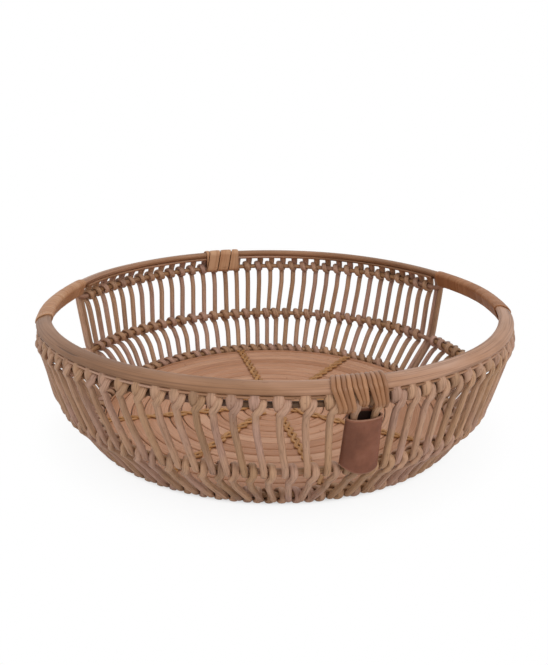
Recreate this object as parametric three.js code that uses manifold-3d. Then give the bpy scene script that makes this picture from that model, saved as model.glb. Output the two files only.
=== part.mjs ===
// A round, shallow, open-work rattan tray with two hand holes.
// Millimetres, +Z up. The origin is under the tray's centre, on the surface that it stands on.
// Angles are in degrees, counter-clockwise from +X: one hand hole is at +X, the other at -X,
// and the front of the tray, with the leather sleeve, faces -Y.
import * as THREE from "three";
import { mergeVertices } from "three/addons/utils/BufferGeometryUtils.js";
import Module from "manifold-3d";

// Overall sizes
const rimRadius = 196.3;
const rimHeight = 106;
const middleHeight = 40.3;
const upperWallInset = 12.6;
const lowerWallInset = 26.5;

// Rods and canes. The rim's section is a flat oval, tilted with its outer edge lower. The line from
// the top hoop up to the rim's middle leans rimOverHoop degrees from level, a little inward, and
// linerInner is how far beyond that line the liner's inner edge lies.
const rimWidth = 13;
const rimThickness = 6.6;
const rimTilt = -20;
const hoopRod = 5;
const strandRod = 4.2;
const linerWidth = 5;
const linerThickness = 2.4;
const linerInner = -1;
const rimOverHoop = 98.5;
const clearance = 0.4;

// Hand holes
const rightGripCentre = 7;
const rightGripHalf = 20;
const leftGripCentre = 173;
const leftGripHalf = 18;
const hoopRise = 10.5;

// Strands
const backStrandCount = 34;
const frontStrandCount = 36;
const shortStrandCount = 9;
const backGroupCount = 8;
const frontGroupCount = 9;
const shortGroupCount = 2;
const strandGap = 0.5;
const baseShift = 2;
const tailReach = 4;
const tailThickness = 3.2;

// Floor
const floorCane = 10.6;
const floorCaneThickness = 3.2;
const floorGap = 0.55;
const seamCount = 8;
const seamStart = 8;
const seamCane = 2.6;
const seamThickness = 1.4;
const seamInnerRadius = 20;
const seamStitches = 8;
const seamSwing = 4;

// Windings
const gripCane = 14.4;
const gripCaneThickness = 1;
const gripClearance = 0.7;
const frontBindingStrand = 21;
const frontBindingTurns = [4, 3, 4];
const frontBindingCane = 3.2;
const frontBundleGap = 1;
const backBindingStrand = 19;
const backBindingTurns = [1, 1, 1];
const backBindingCane = 11.8;
const backBundleGap = 1.4;
const bindingThickness = 1.8;
const windingGap = 0.55;

// Leather sleeve
const leather = 1.3;
const sleeveCorner = 2;
const sleeveGap = 0.8;

// Facets
const chord = 23;
const rimSides = 8;
const hoopSides = 5;
const coilStepsPerTurn = 24;
const roundWrapSides = 8;
const squareWrapSides = 4;

const wasm = await Module();
wasm.setup();

const toDegrees = THREE.MathUtils.radToDeg;
const toRadians = THREE.MathUtils.degToRad;
const vector = (x, y) => new THREE.Vector2(x, y);
const toward = (angle) => vector(Math.cos(toRadians(angle)), Math.sin(toRadians(angle)));

// How far the rim's oval section reaches from its middle towards an angle
function rimReach(angle) {
  const turn = toward(angle - rimTilt);
  return Math.hypot((turn.x * rimWidth) / 2, (turn.y * rimThickness) / 2);
}

// Ring centres in the radial plane: x is the distance from the tray's axis, y the height.
// From the top hoop up to the rim lie a strand and the liner, each with its clearance.
const turnOffset = hoopRod / 2 + clearance + strandRod / 2;
const strandTop = turnOffset + strandRod / 2;
const linerBottom = strandTop + clearance;
const linerTop = linerBottom + linerThickness;
const rimToHoop = linerTop + clearance + rimReach(rimOverHoop);
const rim = vector(rimRadius, rimHeight);
const topHoop = rim.clone().addScaledVector(toward(rimOverHoop), -rimToHoop);
const raisedHoop = rim.clone().sub(vector(0, rimReach(90) + clearance + hoopRod / 2));
const middleHoop = vector(topHoop.x - upperWallInset, middleHeight);
const baseHoop = vector(middleHoop.x - lowerWallInset, turnOffset + strandRod / 2);

// The arc that a length takes up at a radius, in degrees
const arc = (length, radius) => toDegrees(length / radius);

// A strand's sideways shift in one full turn round a hoop, and how much of it is left below the hoop
const shiftKept = 0.8;
const turnShift = (strandRod + strandGap) / shiftKept;

// The panels' edges, where the posts stand
const postHalf = strandRod;
const backStart = rightGripCentre + rightGripHalf;
const backEnd = leftGripCentre - leftGripHalf;
const frontStart = leftGripCentre + leftGripHalf;
const frontEnd = rightGripCentre - rightGripHalf + 360;

// Angles from start to end, in equal steps of about one chord at the rim
function chordAngles(start, end) {
  const steps = Math.max(1, Math.round((end - start) / arc(chord, rimRadius)));
  return Array.from({ length: steps }, (_, i) => start + ((end - start) * i) / steps);
}

// Every ring is a polygon on the same angles; the top hoop rises to the rim inside each hand hole
const postEdge = arc(postHalf + clearance, topHoop.x);
const rise = arc(hoopRise, rimRadius);
const leftRaised = [backEnd + postEdge + rise, frontStart - postEdge - rise];
const rightRaised = [frontEnd + postEdge + rise, backStart + 360 - postEdge - rise];
const ringAngles = [
  ...chordAngles(backStart - postEdge, backEnd + postEdge),
  ...chordAngles(backEnd + postEdge, leftRaised[0]),
  ...chordAngles(...leftRaised),
  ...chordAngles(leftRaised[1], frontStart - postEdge),
  ...chordAngles(frontStart - postEdge, frontEnd + postEdge),
  ...chordAngles(frontEnd + postEdge, rightRaised[0]),
  ...chordAngles(...rightRaised),
  ...chordAngles(rightRaised[1], backStart + 360 - postEdge),
];

// The floor's coil fills the base hoop, and the strands' tails reach under its outermost turn
const floorBottom = strandRod + clearance;
const floorTop = floorBottom + floorCaneThickness;
const coilInner = floorCane / 2 + clearance;
const longestChord = Math.max(...ringAngles.slice(1).map((angle, i) => angle - ringAngles[i]));
const hoopSag = baseHoop.x * (1 - Math.cos(toRadians(longestChord / 2)));
const coilOuter = baseHoop.x - hoopRod / 2 - clearance - floorCane / 2 - hoopSag;
const coilTurns = Math.floor((coilOuter - coilInner) / (floorCane + floorGap));
const coilPitch = (coilOuter - coilInner) / coilTurns;

// How far in from its circle a ring's polygon lies at an angle, as a share of the radius
function chordFactor(angle) {
  const first = ringAngles[0];
  const turned = first + THREE.MathUtils.euclideanModulo(angle - first, 360);
  const i = ringAngles.findLastIndex((start) => start <= turned);
  const end = ringAngles[i + 1] ?? first + 360;
  const half = (end - ringAngles[i]) / 2;
  return Math.cos(toRadians(half)) / Math.cos(toRadians(turned - ringAngles[i] - half));
}

// A point of the radial plane, turned to its angle and drawn in to the rings' flats
function ringPoint(angle, radius, height) {
  const place = toward(angle).multiplyScalar(radius * chordFactor(angle));
  return new THREE.Vector3(place.x, place.y, height);
}

// Turns the faces outward if the body came out inside out
function faceOutward(points, index) {
  let volume = 0;
  for (let i = 0; i < index.length; i += 3) {
    const [a, b, c] = [points[index[i]], points[index[i + 1]], points[index[i + 2]]];
    volume += a.dot(new THREE.Vector3().crossVectors(b, c));
  }
  return volume < 0 ? index.reverse() : index;
}

// Skins a row of matching outlines into one closed body, capped at its ends or closed on itself
function loft(sections, closed = false) {
  const sides = sections[0].length;
  const points = sections.flat();
  const index = [];
  const spans = closed ? sections.length : sections.length - 1;
  for (let i = 0; i < spans; i++) {
    const here = i * sides;
    const next = ((i + 1) % sections.length) * sides;
    for (let j = 0; j < sides; j++) {
      const k = (j + 1) % sides;
      index.push(here + j, here + k, next + k);
      index.push(here + j, next + k, next + j);
    }
  }
  if (!closed) {
    const last = points.length - sides;
    for (let j = 1; j < sides - 1; j++) {
      index.push(0, j + 1, j);
      index.push(last, last + j, last + j + 1);
    }
  }
  const geometry = new THREE.BufferGeometry().setFromPoints(points);
  geometry.setIndex(faceOutward(points, index));
  return geometry;
}

// The joint's half-thickness offset where two straight runs meet, for a thickness of 2
function mitre(before, here, after) {
  const normals = [before && here.clone().sub(before), after && after.clone().sub(here)]
    .filter(Boolean)
    .map((run) => vector(-run.y, run.x).normalize());
  const [first, second = first] = normals;
  return first.clone().add(second).divideScalar(1 + first.dot(second));
}

// The sections of a flat band along its stops; each stop has its place in the radial plane,
// its angle, and half its width in degrees
function bandSections(stops, thickness) {
  return stops.map(({ at, angle, half }, i) => {
    const offset = mitre(stops[i - 1]?.at, at, stops[i + 1]?.at).multiplyScalar(thickness / 2);
    const outer = at.clone().add(offset);
    const inner = at.clone().sub(offset);
    return [
      ringPoint(angle - half, outer.x, outer.y),
      ringPoint(angle + half, outer.x, outer.y),
      ringPoint(angle + half, inner.x, inner.y),
      ringPoint(angle - half, inner.x, inner.y),
    ];
  });
}

function solidOf(geometry) {
  const merged = mergeVertices(geometry);
  const vertProperties = merged.getAttribute("position").array;
  const triVerts = new Uint32Array(merged.index.array);
  return new wasm.Manifold(new wasm.Mesh({ numProp: 3, vertProperties, triVerts }));
}

// Joins overlapping bodies into one
function unite(geometries) {
  const joined = geometries.map(solidOf).reduce((all, next) => all.add(next));
  const { vertProperties, triVerts } = joined.getMesh();
  const geometry = new THREE.BufferGeometry();
  geometry.setAttribute("position", new THREE.BufferAttribute(vertProperties, 3));
  geometry.setIndex(new THREE.BufferAttribute(triVerts, 1));
  return geometry;
}

// The least distance between a winding's points and those of its other turns
function leastGap(sections, stepsPerTurn) {
  let least = Infinity;
  for (let i = 0; i < sections.length; i++)
    for (let j = i + Math.ceil(stepsPerTurn / 2); j < sections.length; j++)
      for (const here of sections[i])
        for (const there of sections[j]) least = Math.min(least, here.distanceTo(there));
  return least;
}

const tray = new THREE.Group();

function addPiece(name, geometry, look) {
  const mesh = new THREE.Mesh(geometry, new THREE.MeshStandardMaterial({ metalness: 0, ...look }));
  mesh.name = name;
  tray.add(mesh);
}

function addWinding(name, sections, stepsPerTurn, look) {
  console.log(`${name}: least gap to itself ${leastGap(sections, stepsPerTurn).toFixed(2)} mm`);
  addPiece(name, loft(sections), look);
}

const poleLook = { color: "#b08a6c", roughness: 0.6 };
const coreLook = { color: "#b3957a", roughness: 0.7 };
const floorLook = { color: "#b9835f", roughness: 0.65 };
const caneLook = { color: "#b5804f", roughness: 0.4 };
const leatherLook = { color: "#84543f", roughness: 0.75 };

// Rings: each has its width, its thickness and how far its width is tilted from level
const rimOval = [rimWidth, rimThickness, rimTilt];
const hoopRound = [hoopRod, hoopRod, 0];

function ovalSection(centre, [width, thickness, tilt], sides, angle) {
  return Array.from({ length: sides }, (_, i) => {
    const turn = toward((360 * (i + 0.5)) / sides);
    const at = centre.clone().addScaledVector(toward(tilt), (turn.x * width) / 2);
    at.addScaledVector(toward(tilt + 90), (turn.y * thickness) / 2);
    const place = toward(angle).multiplyScalar(at.x);
    return new THREE.Vector3(place.x, place.y, at.y);
  });
}

function ring(centreAt, shape, sides) {
  return loft(
    ringAngles.map((angle) => ovalSection(centreAt(angle), shape, sides, angle)),
    true,
  );
}

const isRaised = (angle) =>
  [leftRaised, rightRaised].some(([start, end]) => angle > start - 0.01 && angle < end + 0.01);

addPiece("rim_pole", ring(() => rim, rimOval, rimSides), poleLook);
const topHoopAt = (angle) => (isRaised(angle) ? raisedHoop : topHoop);
addPiece("top_hoop", ring(topHoopAt, hoopRound, hoopSides), coreLook);
addPiece("middle_hoop", ring(() => middleHoop, hoopRound, hoopSides), coreLook);
addPiece("base_hoop", ring(() => baseHoop, hoopRound, hoopSides), coreLook);

// Round the top hoop a strand has one side square to the line from hoop to rim
const topUp = toward(rimOverHoop);
const topOut = toward(rimOverHoop - 90);
const beside = (hoop, out, up, along, over) =>
  hoop.clone().addScaledVector(out, along).addScaledVector(up, over);
const atTop = (along, over) => beside(topHoop, topOut, topUp, along, over);

// Liner: a strip between the strands' tops and the rim
function liner(start, end) {
  const angles = [...chordAngles(start, end), end];
  return loft(
    angles.map((angle) =>
      [
        atTop(linerInner, linerBottom),
        atTop(linerInner + linerWidth, linerBottom),
        atTop(linerInner + linerWidth, linerTop),
        atTop(linerInner, linerTop),
      ].map((at) => ringPoint(angle, at.x, at.y)),
    ),
  );
}

addPiece("back_rim_liner", liner(backStart - postEdge, backEnd + postEdge), poleLook);
addPiece("front_rim_liner", liner(frontStart - postEdge, frontEnd + postEdge), poleLook);

// Where a run bends round a hoop's outer side, from one facing to the next
const bend = (hoop, out, nextOut, offset = turnOffset) =>
  hoop.clone().addScaledVector(out.clone().add(nextOut), offset / (1 + out.dot(nextOut)));
const facing = (upper, lower) => {
  const run = lower.clone().sub(upper).normalize();
  return vector(-run.y, run.x);
};
const upperOut = facing(topHoop, middleHoop);
const lowerOut = facing(middleHoop, baseHoop);
const down = vector(0, -1);

// The upper ribs run from over the top hoop straight down past the outer sides of both hoops
const upperUp = vector(-upperOut.y, upperOut.x);
const atMiddle = (along, over) => beside(middleHoop, upperOut, upperUp, along, over);
const shoulderOut = topUp.clone().add(upperOut).normalize();
const ribTop = bend(topHoop, shoulderOut, upperOut);
const ribEnd = atMiddle(turnOffset, -turnOffset);
const tailEnd = vector(coilOuter + floorCane / 2 - coilPitch - tailReach, strandRod / 2);

const topTurn = [
  [atTop(turnOffset, strandTop), 0],
  [atTop(turnOffset, -turnOffset), 0],
  [atTop(-turnOffset, -turnOffset), turnShift / 3],
  [atTop(-turnOffset, turnOffset), (turnShift * 2) / 3],
  [bend(topHoop, topUp, shoulderOut), turnShift],
  [ribTop, turnShift],
];
const middleTurn = [
  [ribEnd, 0],
  [atMiddle(-turnOffset, -turnOffset), turnShift / 3],
  [atMiddle(-turnOffset, turnOffset), (turnShift * 2) / 3],
  [atMiddle(turnOffset, turnOffset), turnShift],
  [bend(middleHoop, upperOut, lowerOut), turnShift * shiftKept],
];
const baseBend = [
  [bend(baseHoop, lowerOut, down), baseShift],
  [tailEnd, baseShift],
];
const wallRoute = [...topTurn, ...middleTurn, ...baseBend];
const shortRoute = [[atMiddle(turnOffset, turnOffset), 0], ...middleTurn, ...baseBend];
const postRoute = [
  [atTop(turnOffset, strandTop), 0],
  [bend(topHoop, topOut, upperOut), 0],
  [bend(middleHoop, upperOut, lowerOut), 0],
  [bend(baseHoop, lowerOut, down), 0],
  [tailEnd, 0],
];

function strand(route, angle, width) {
  const stops = route.map(([at, shift]) => ({
    at,
    angle: angle + arc(shift, at.x),
    half: arc(width / 2, at.x),
  }));
  return loft(bandSections(stops, strandRod));
}

// The strands' tails, laid along each other under the floor's edge from the first strand to the last
function tails(angles) {
  const inset = strandRod / 2 - clearance;
  const shift = arc(baseShift, tailEnd.x);
  const margin = arc(inset, tailEnd.x);
  const ends = [angles[0] - margin, ...angles.slice(1, -1), angles.at(-1) + margin];
  const radii = [tailEnd.x + clearance, tailEnd.x + clearance + tailThickness];
  const heights = [(strandRod - tailThickness) / 2, (strandRod + tailThickness) / 2];
  return loft(
    ends.map((angle) => [
      ringPoint(angle + shift, radii[0], heights[0]),
      ringPoint(angle + shift, radii[1], heights[0]),
      ringPoint(angle + shift, radii[1], heights[1]),
      ringPoint(angle + shift, radii[0], heights[1]),
    ]),
  );
}

// Strands in groups of neighbours, joined at their tails
function addStrands(name, route, angles, groupCount) {
  for (let g = 0; g < groupCount; g++) {
    const first = Math.round((angles.length * g) / groupCount);
    const last = Math.round((angles.length * (g + 1)) / groupCount);
    const group = angles.slice(first, last);
    const strands = group.map((angle) => strand(route, angle, strandRod));
    addPiece(`${name}_${g + 1}`, unite([tails(group), ...strands]), coreLook);
  }
}

// Between two posts the strands are evenly spaced, and the last one's turn has room beside its post
const besidePost = arc(turnShift + strandRod / 2 + strandGap + postHalf, middleHoop.x);

function panelAngles(start, end, count) {
  const pitch = (end - start - besidePost) / count;
  return Array.from({ length: count }, (_, i) => start + pitch * (i + 1));
}

const backAngles = panelAngles(backStart, backEnd, backStrandCount);
const frontAngles = panelAngles(frontStart, frontEnd, frontStrandCount);
addStrands("back_strands", wallRoute, backAngles, backGroupCount);
addStrands("front_strands", wallRoute, frontAngles, frontGroupCount);
const leftShortAngles = panelAngles(backEnd, frontStart, shortStrandCount);
const rightShortAngles = panelAngles(frontEnd, backStart + 360, shortStrandCount);
addStrands("left_short_strands", shortRoute, leftShortAngles, shortGroupCount);
addStrands("right_short_strands", shortRoute, rightShortAngles, shortGroupCount);

const posts = {
  back_right_post: backStart,
  back_left_post: backEnd,
  front_left_post: frontStart,
  front_right_post: frontEnd,
};
for (const [name, angle] of Object.entries(posts))
  addPiece(name, strand(postRoute, angle, 2 * postHalf), coreLook);

// Floor: one flat cane, coiled from the centre out to the base hoop
function floorCoil() {
  const steps = coilTurns * coilStepsPerTurn;
  return Array.from({ length: steps + 1 }, (_, i) => {
    const radius = coilInner + (coilPitch * i) / coilStepsPerTurn;
    const outward = toward((360 * i) / coilStepsPerTurn);
    const inner = outward.clone().multiplyScalar(radius - floorCane / 2);
    const outer = outward.clone().multiplyScalar(radius + floorCane / 2);
    return [
      new THREE.Vector3(inner.x, inner.y, floorBottom),
      new THREE.Vector3(outer.x, outer.y, floorBottom),
      new THREE.Vector3(outer.x, outer.y, floorTop),
      new THREE.Vector3(inner.x, inner.y, floorTop),
    ];
  });
}

addWinding("floor_coil", floorCoil(), coilStepsPerTurn, floorLook);

// A seam zigzags over the coil from near its centre to the base hoop
function seam(angle) {
  const along = toward(angle);
  const aside = vector(-along.y, along.x);
  const seamEnd = coilOuter + floorCane / 2 - seamCane;
  const stops = Array.from({ length: seamStitches + 1 }, (_, i) => {
    const radius = seamInnerRadius + ((seamEnd - seamInnerRadius) * i) / seamStitches;
    const side = i % 2 ? 1 : -1;
    return along.clone().multiplyScalar(radius).addScaledVector(aside, side * seamSwing);
  });
  const bottom = floorTop + clearance;
  const top = bottom + seamThickness;
  return loft(
    stops.map((stop, i) => {
      const offset = mitre(stops[i - 1], stop, stops[i + 1]).multiplyScalar(seamCane / 2);
      const left = stop.clone().add(offset);
      const right = stop.clone().sub(offset);
      return [
        new THREE.Vector3(left.x, left.y, bottom),
        new THREE.Vector3(right.x, right.y, bottom),
        new THREE.Vector3(right.x, right.y, top),
        new THREE.Vector3(left.x, left.y, top),
      ];
    }),
  );
}

for (let i = 0; i < seamCount; i++)
  addPiece(`floor_seam_${i + 1}`, seam(seamStart + (360 * i) / seamCount), caneLook);

// A corner of the polygon that a cane makes when it is wound round a ring of that centre and shape;
// the turn is measured from the ring's wide way
function cornerRound(centre, [width, thickness, tilt], grow, sides, turn) {
  const corner = toward(turn).divideScalar(Math.cos(Math.PI / sides));
  const at = centre.clone().addScaledVector(toward(tilt), corner.x * (width / 2 + grow));
  return at.addScaledVector(toward(tilt + 90), corner.y * (thickness / 2 + grow));
}

// Grip wraps: wide flat cane wound round the rim and the raised top hoop
const wrapGrow = gripClearance + gripCaneThickness / 2;
const wrapRim = (turn) => cornerRound(rim, rimOval, wrapGrow, roundWrapSides, turn);
const wrapHoop = (turn) => cornerRound(raisedHoop, hoopRound, wrapGrow, squareWrapSides, turn);
const wrapOutline = [
  ...[45, 0].map(wrapRim),
  ...[0, -90, -180].map(wrapHoop),
  ...[180, 135, 90].map(wrapRim),
];

function addGripWrap(name, [start, end]) {
  const stepsPerTurn = wrapOutline.length;
  const pitch = arc(gripCane + windingGap, rimRadius);
  const margin = arc(gripCane / 2, rimRadius);
  const turns = Math.floor((end - start - 2 * margin) / pitch);
  const first = (start + end - turns * pitch) / 2;
  const stops = Array.from({ length: turns * stepsPerTurn + 1 }, (_, i) => ({
    at: wrapOutline[i % stepsPerTurn],
    angle: first + (pitch * i) / stepsPerTurn,
    half: margin,
  }));
  addWinding(name, bandSections(stops, gripCaneThickness), stepsPerTurn, caneLook);
}

addGripWrap("left_grip_wrap", leftRaised);
addGripWrap("right_grip_wrap", rightRaised);

// Bindings: cane wound round the rim, the top hoop and the strands' tops. Below the rim the turns
// are gathered between the ribs, a bundle to each of three neighbouring gaps.
const bindingSide = Math.max(strandTop, linerInner + linerWidth) + clearance + bindingThickness / 2;
const bindingGrow = clearance + bindingThickness / 2;
const bindRim = (turn) => cornerRound(rim, rimOval, bindingGrow, roundWrapSides, turn);
const bindingShoulder = bend(topHoop, shoulderOut, upperOut, bindingSide);
const topLean = turnShift / 8;

function bindingPlaces(angles, strandIndex, bundles, cane, bundleGap) {
  const pitch = angles[1] - angles[0];
  const most = Math.max(...bundles);
  const room = toRadians(pitch) * topHoop.x - strandRod - 2 * bundleGap;
  const edge = (room - (most - 1) * windingGap) / most;
  const middle = angles[strandIndex - 1] + pitch / 2 + arc(turnShift - topLean, topHoop.x);
  const turns = bundles.reduce((sum, count) => sum + count);
  const gathered = bundles.flatMap((count, b) =>
    Array.from({ length: count }, (_, i) => {
      const offset = (i - (count - 1) / 2) * (edge + windingGap);
      return middle + (b - 1) * pitch + arc(offset, rimRadius);
    }),
  );
  const spread = Array.from({ length: turns }, (_, i) => {
    return middle + arc((i - (turns - 1) / 2) * (cane + windingGap), rimRadius);
  });
  return { gathered, spread, edge, step: arc(cane + windingGap, rimRadius) };
}

function addBinding(name, angles, strandIndex, bundles, cane, bundleGap) {
  const places = bindingPlaces(angles, strandIndex, bundles, cane, bundleGap);
  const { gathered, spread, edge, step } = places;
  const gather = strandTop - strandRod / 4;
  const wide = arc(cane / 2, rimRadius);
  const narrow = arc(edge / 2, rimRadius);
  const stops = gathered.flatMap((low, i) => [
    { at: bindRim(90), angle: spread[i] - step / 8, half: wide },
    { at: bindRim(45), angle: spread[i], half: wide },
    { at: atTop(bindingSide, strandTop), angle: spread[i], half: wide },
    { at: bindingShoulder, angle: spread[i], half: wide },
    { at: atTop(bindingSide, -bindingSide), angle: low, half: narrow },
    { at: atTop(-bindingSide, -bindingSide), angle: low, half: narrow },
    { at: atTop(-bindingSide, gather), angle: low, half: narrow },
    { at: bindRim(180), angle: spread[i] + step / 2, half: wide },
    { at: bindRim(135), angle: spread[i] + (step * 3) / 4, half: wide },
  ]);
  addWinding(name, bandSections(stops, bindingThickness), stops.length / gathered.length, caneLook);
}

addBinding(
  "front_binding",
  frontAngles,
  frontBindingStrand,
  frontBindingTurns,
  frontBindingCane,
  frontBundleGap,
);
addBinding(
  "back_binding",
  backAngles,
  backBindingStrand,
  backBindingTurns,
  backBindingCane,
  backBundleGap,
);

// Leather sleeve: a strip closed round the two ribs below the front binding
const sleeveBottom = middleHoop.y + strandTop + clearance;
const bindingBottom = Math.min(...[-1, 1].map((side) => atTop(side * bindingSide, -bindingSide).y));
const sleeveTop = bindingBottom - bindingThickness / 2 - sleeveGap;

function sleeve() {
  const pitch = frontAngles[1] - frontAngles[0];
  const middle = frontAngles[frontBindingStrand - 1] + pitch / 2;
  // A point of the sleeve's outer or inner face, where its outline faces the turn's direction
  const wallPoint = (height, quarter, turn, grow) => {
    const share = (height - ribEnd.y) / (ribTop.y - ribEnd.y);
    const centre = ribEnd.x + (ribTop.x - ribEnd.x) * share;
    const halfDepth = strandRod / 2 + sleeveGap + grow;
    const halfSide = halfDepth + (toRadians(pitch) * centre) / 2;
    const radius = sleeveCorner - leather + grow;
    const corner = toward(quarter * 90 + 45);
    const round = toward(turn).multiplyScalar(radius);
    const aside = Math.sign(corner.x) * (halfSide - radius) + round.x;
    const depth = Math.sign(corner.y) * (halfDepth - radius) + round.y;
    const angle = middle + arc(turnShift * share + aside, centre);
    return ringPoint(angle, centre + depth, height);
  };
  const stations = [0, 1, 2, 3].flatMap((quarter) =>
    [0, 45, 90].map((turn) => [quarter, quarter * 90 + turn]),
  );
  return loft(
    stations.map(([quarter, turn]) => [
      wallPoint(sleeveBottom, quarter, turn, leather),
      wallPoint(sleeveTop, quarter, turn, leather),
      wallPoint(sleeveTop, quarter, turn, 0),
      wallPoint(sleeveBottom, quarter, turn, 0),
    ]),
    true,
  );
}

addPiece("leather_sleeve", sleeve(), leatherLook);

export default tray;
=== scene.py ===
# %% [markdown]
# # A round rattan tray
# A tray like this is bent and wound from one plant. A thick pole makes the rim, thinner rods make
# three hoops, and long round strands go from hoop to hoop, with a full turn round each of them.
# The imported CAD model comes in first. It stays where it is, and every piece made here takes the
# place of one of its nodes, which is then hidden.

import math

import bpy
import numpy as np
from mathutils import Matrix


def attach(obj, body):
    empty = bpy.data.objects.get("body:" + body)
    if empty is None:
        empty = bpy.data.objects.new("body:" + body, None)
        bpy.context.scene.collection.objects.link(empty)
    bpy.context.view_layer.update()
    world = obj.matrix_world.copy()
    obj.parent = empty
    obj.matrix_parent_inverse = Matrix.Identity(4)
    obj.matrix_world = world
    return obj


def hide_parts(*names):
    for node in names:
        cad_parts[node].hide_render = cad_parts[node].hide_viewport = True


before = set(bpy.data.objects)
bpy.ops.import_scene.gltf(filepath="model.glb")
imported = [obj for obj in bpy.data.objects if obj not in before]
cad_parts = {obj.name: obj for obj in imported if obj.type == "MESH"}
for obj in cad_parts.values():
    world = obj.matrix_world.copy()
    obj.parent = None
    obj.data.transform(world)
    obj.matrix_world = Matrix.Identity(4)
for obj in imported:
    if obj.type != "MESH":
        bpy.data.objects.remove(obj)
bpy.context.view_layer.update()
MM = 0.001
chance = np.random.default_rng(41)
print("CAD nodes:", len(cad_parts))

# %% [markdown]
# ## Camera
# The camera stands where the photographer's did: low in front of the tray and a little to its left.
# Its place comes from how round the four rings look in the picture. The lens is given for a
# picture that is taller than wide, so the sensor is measured along its height.

# %% Stand the camera in front of the tray
CAMERA_PLACE = (-71.3, -678.3, 306.0)
CAMERA_TILT = (71.57, -0.38, -5.83)
PICTURE_HEIGHT = 665
FOCAL_PIXELS = 808.4
SENSOR = 36.0
NEAREST_SEEN = 0.01

lens = bpy.data.cameras.new("camera")
lens.sensor_fit = "VERTICAL"
lens.sensor_height = SENSOR
lens.lens = SENSOR * FOCAL_PIXELS / PICTURE_HEIGHT
lens.clip_start = NEAREST_SEEN
camera = bpy.data.objects.new("camera", lens)
bpy.context.scene.collection.objects.link(camera)
camera.location = [MM * part for part in CAMERA_PLACE]
camera.rotation_euler = [math.radians(part) for part in CAMERA_TILT]
bpy.context.scene.camera = camera
print("lens in mm:", round(lens.lens, 2))

# %% [markdown]
# ## Measures
# Everything round the tray is told by three numbers, as on a potter's wheel: the angle round it, the
# distance from its middle and the height. The hoops are kept as their rod's middle. The wall leans
# out twice, gently above the middle hoop and more below it.
# The top hoop isn't level. It climbs up to the rim to make the two grips, and it lies a little
# higher in front than at the back. None of the rings is quite round: a hand-bent pole is pulled
# in by two or three millimetres here and there, and two lists say where. All measures are in
# millimetres and degrees, and become metres when a point is placed.

# %% Say where the rings are
RIM = (196.3, 106.0)
TOP_RADIUS = 197.2
GRIP_RADIUS = 196.6
BACK_LEVEL = 91.4
FRONT_LEVEL = 94.8
GRIP_LEVEL = 98.9
MIDDLE = (185.9, 40.3)
BASE = (159.4, 7.1)
HOOP_ROD = 4.6
STRAND_ROD = 5.0
RIGHT_HOLE = (347.0, 387.0)
LEFT_HOLE = (155.0, 191.0)
WAVES = (3, 5, 8, 13)
# Angle, and how far the ring lies outside its circle there
RIM_ASKEW = [
    (0, -1.5), (25, -3.0), (50, -1.0), (80, 0.0), (140, -0.5),
    (165, -3.0), (182, -2.0), (195, 0.0), (345, 0.0), (360, -1.5),
]
MIDDLE_ASKEW = [
    (0, -1.0), (60, 0.0), (170, 0.0), (200, -2.0), (222, -3.0), (240, -1.0), (262, 0.0),
    (285, 0.0), (305, -2.0), (325, -3.0), (345, -2.0), (360, -1.0),
]
UPPER_LEAN = math.degrees(math.atan2(TOP_RADIUS - MIDDLE[0], BACK_LEVEL - MIDDLE[1]))
LOWER_LEAN = math.degrees(math.atan2(MIDDLE[0] - BASE[0], MIDDLE[1] - BASE[1]))
print("wall leans:", round(UPPER_LEAN, 1), round(LOWER_LEAN, 1))


# %% Ease and wander round the tray
def placed(angle, radius, height):
    """x is the radius times the angle's cosine, y is the radius times its sine, and z is the
    height, all three in metres."""
    turn = np.radians(angle)
    return MM * np.stack(
        np.broadcast_arrays(radius * np.cos(turn), radius * np.sin(turn), height), -1
    )


def eased(angle, stops):
    """Between two stops (angle, value) the value goes from one to the other as 3t² − 2t³."""
    at, value = np.array(stops, float).T
    angle = np.mod(np.asarray(angle, float), 360)
    first = np.clip(np.searchsorted(at, angle, side="right") - 1, 0, len(at) - 2)
    share = np.clip((angle - at[first]) / (at[first + 1] - at[first]), 0, 1)
    share = share * share * (3 - 2 * share)
    return value[first] + (value[first + 1] - value[first]) * share


def grip_stops(grip, back, front):
    """One value at the two grips, one at the back and one in front, with 8 degrees of change
    from each to the next."""
    return [
        (0, grip), (21, grip), (29, back), (153, back), (161, grip),
        (185, grip), (193, front), (345, front), (353, grip), (360, grip),
    ]


def wander(angle, size, seed):
    """The sum over a few whole waves round the tray of sine(wave·angle + phase) / wave, times size."""
    phases = np.random.default_rng(seed).uniform(0, 2 * np.pi, len(WAVES))
    turn = np.radians(angle)
    return size * sum(np.sin(wave * turn + phase) / wave for wave, phase in zip(WAVES, phases))


def rim_off(angle):
    """How far the rim lies out and up from its circle at these angles."""
    return eased(angle, RIM_ASKEW) + wander(angle, 0.4, seed=1), wander(angle, 0.5, seed=2)


def top_hoop_at(angle):
    """Radius and height of the top hoop's middle at these angles."""
    radius = eased(angle, grip_stops(GRIP_RADIUS, TOP_RADIUS, TOP_RADIUS))
    height = eased(angle, grip_stops(GRIP_LEVEL, BACK_LEVEL, FRONT_LEVEL))
    return radius + eased(angle, RIM_ASKEW), height


def middle_hoop_at(angle):
    """Radius and height of the middle hoop's middle at these angles."""
    return MIDDLE[0] + eased(angle, MIDDLE_ASKEW), MIDDLE[1]


print("rim pulled in at 25 degrees:", round(float(rim_off(25)[0]), 2), "mm")

# %% [markdown]
# ## Skins
# Every piece of this tray is a long run of cane, so two tools make them all. A *section* is the
# outline across the cane, and *skin* joins the outlines of neighbouring places with four-sided
# faces. Blender's own curve bevel could do this, but with numpy we also keep a number that
# travels along each cane. The grain later reads it, so that it follows every bend.

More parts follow.
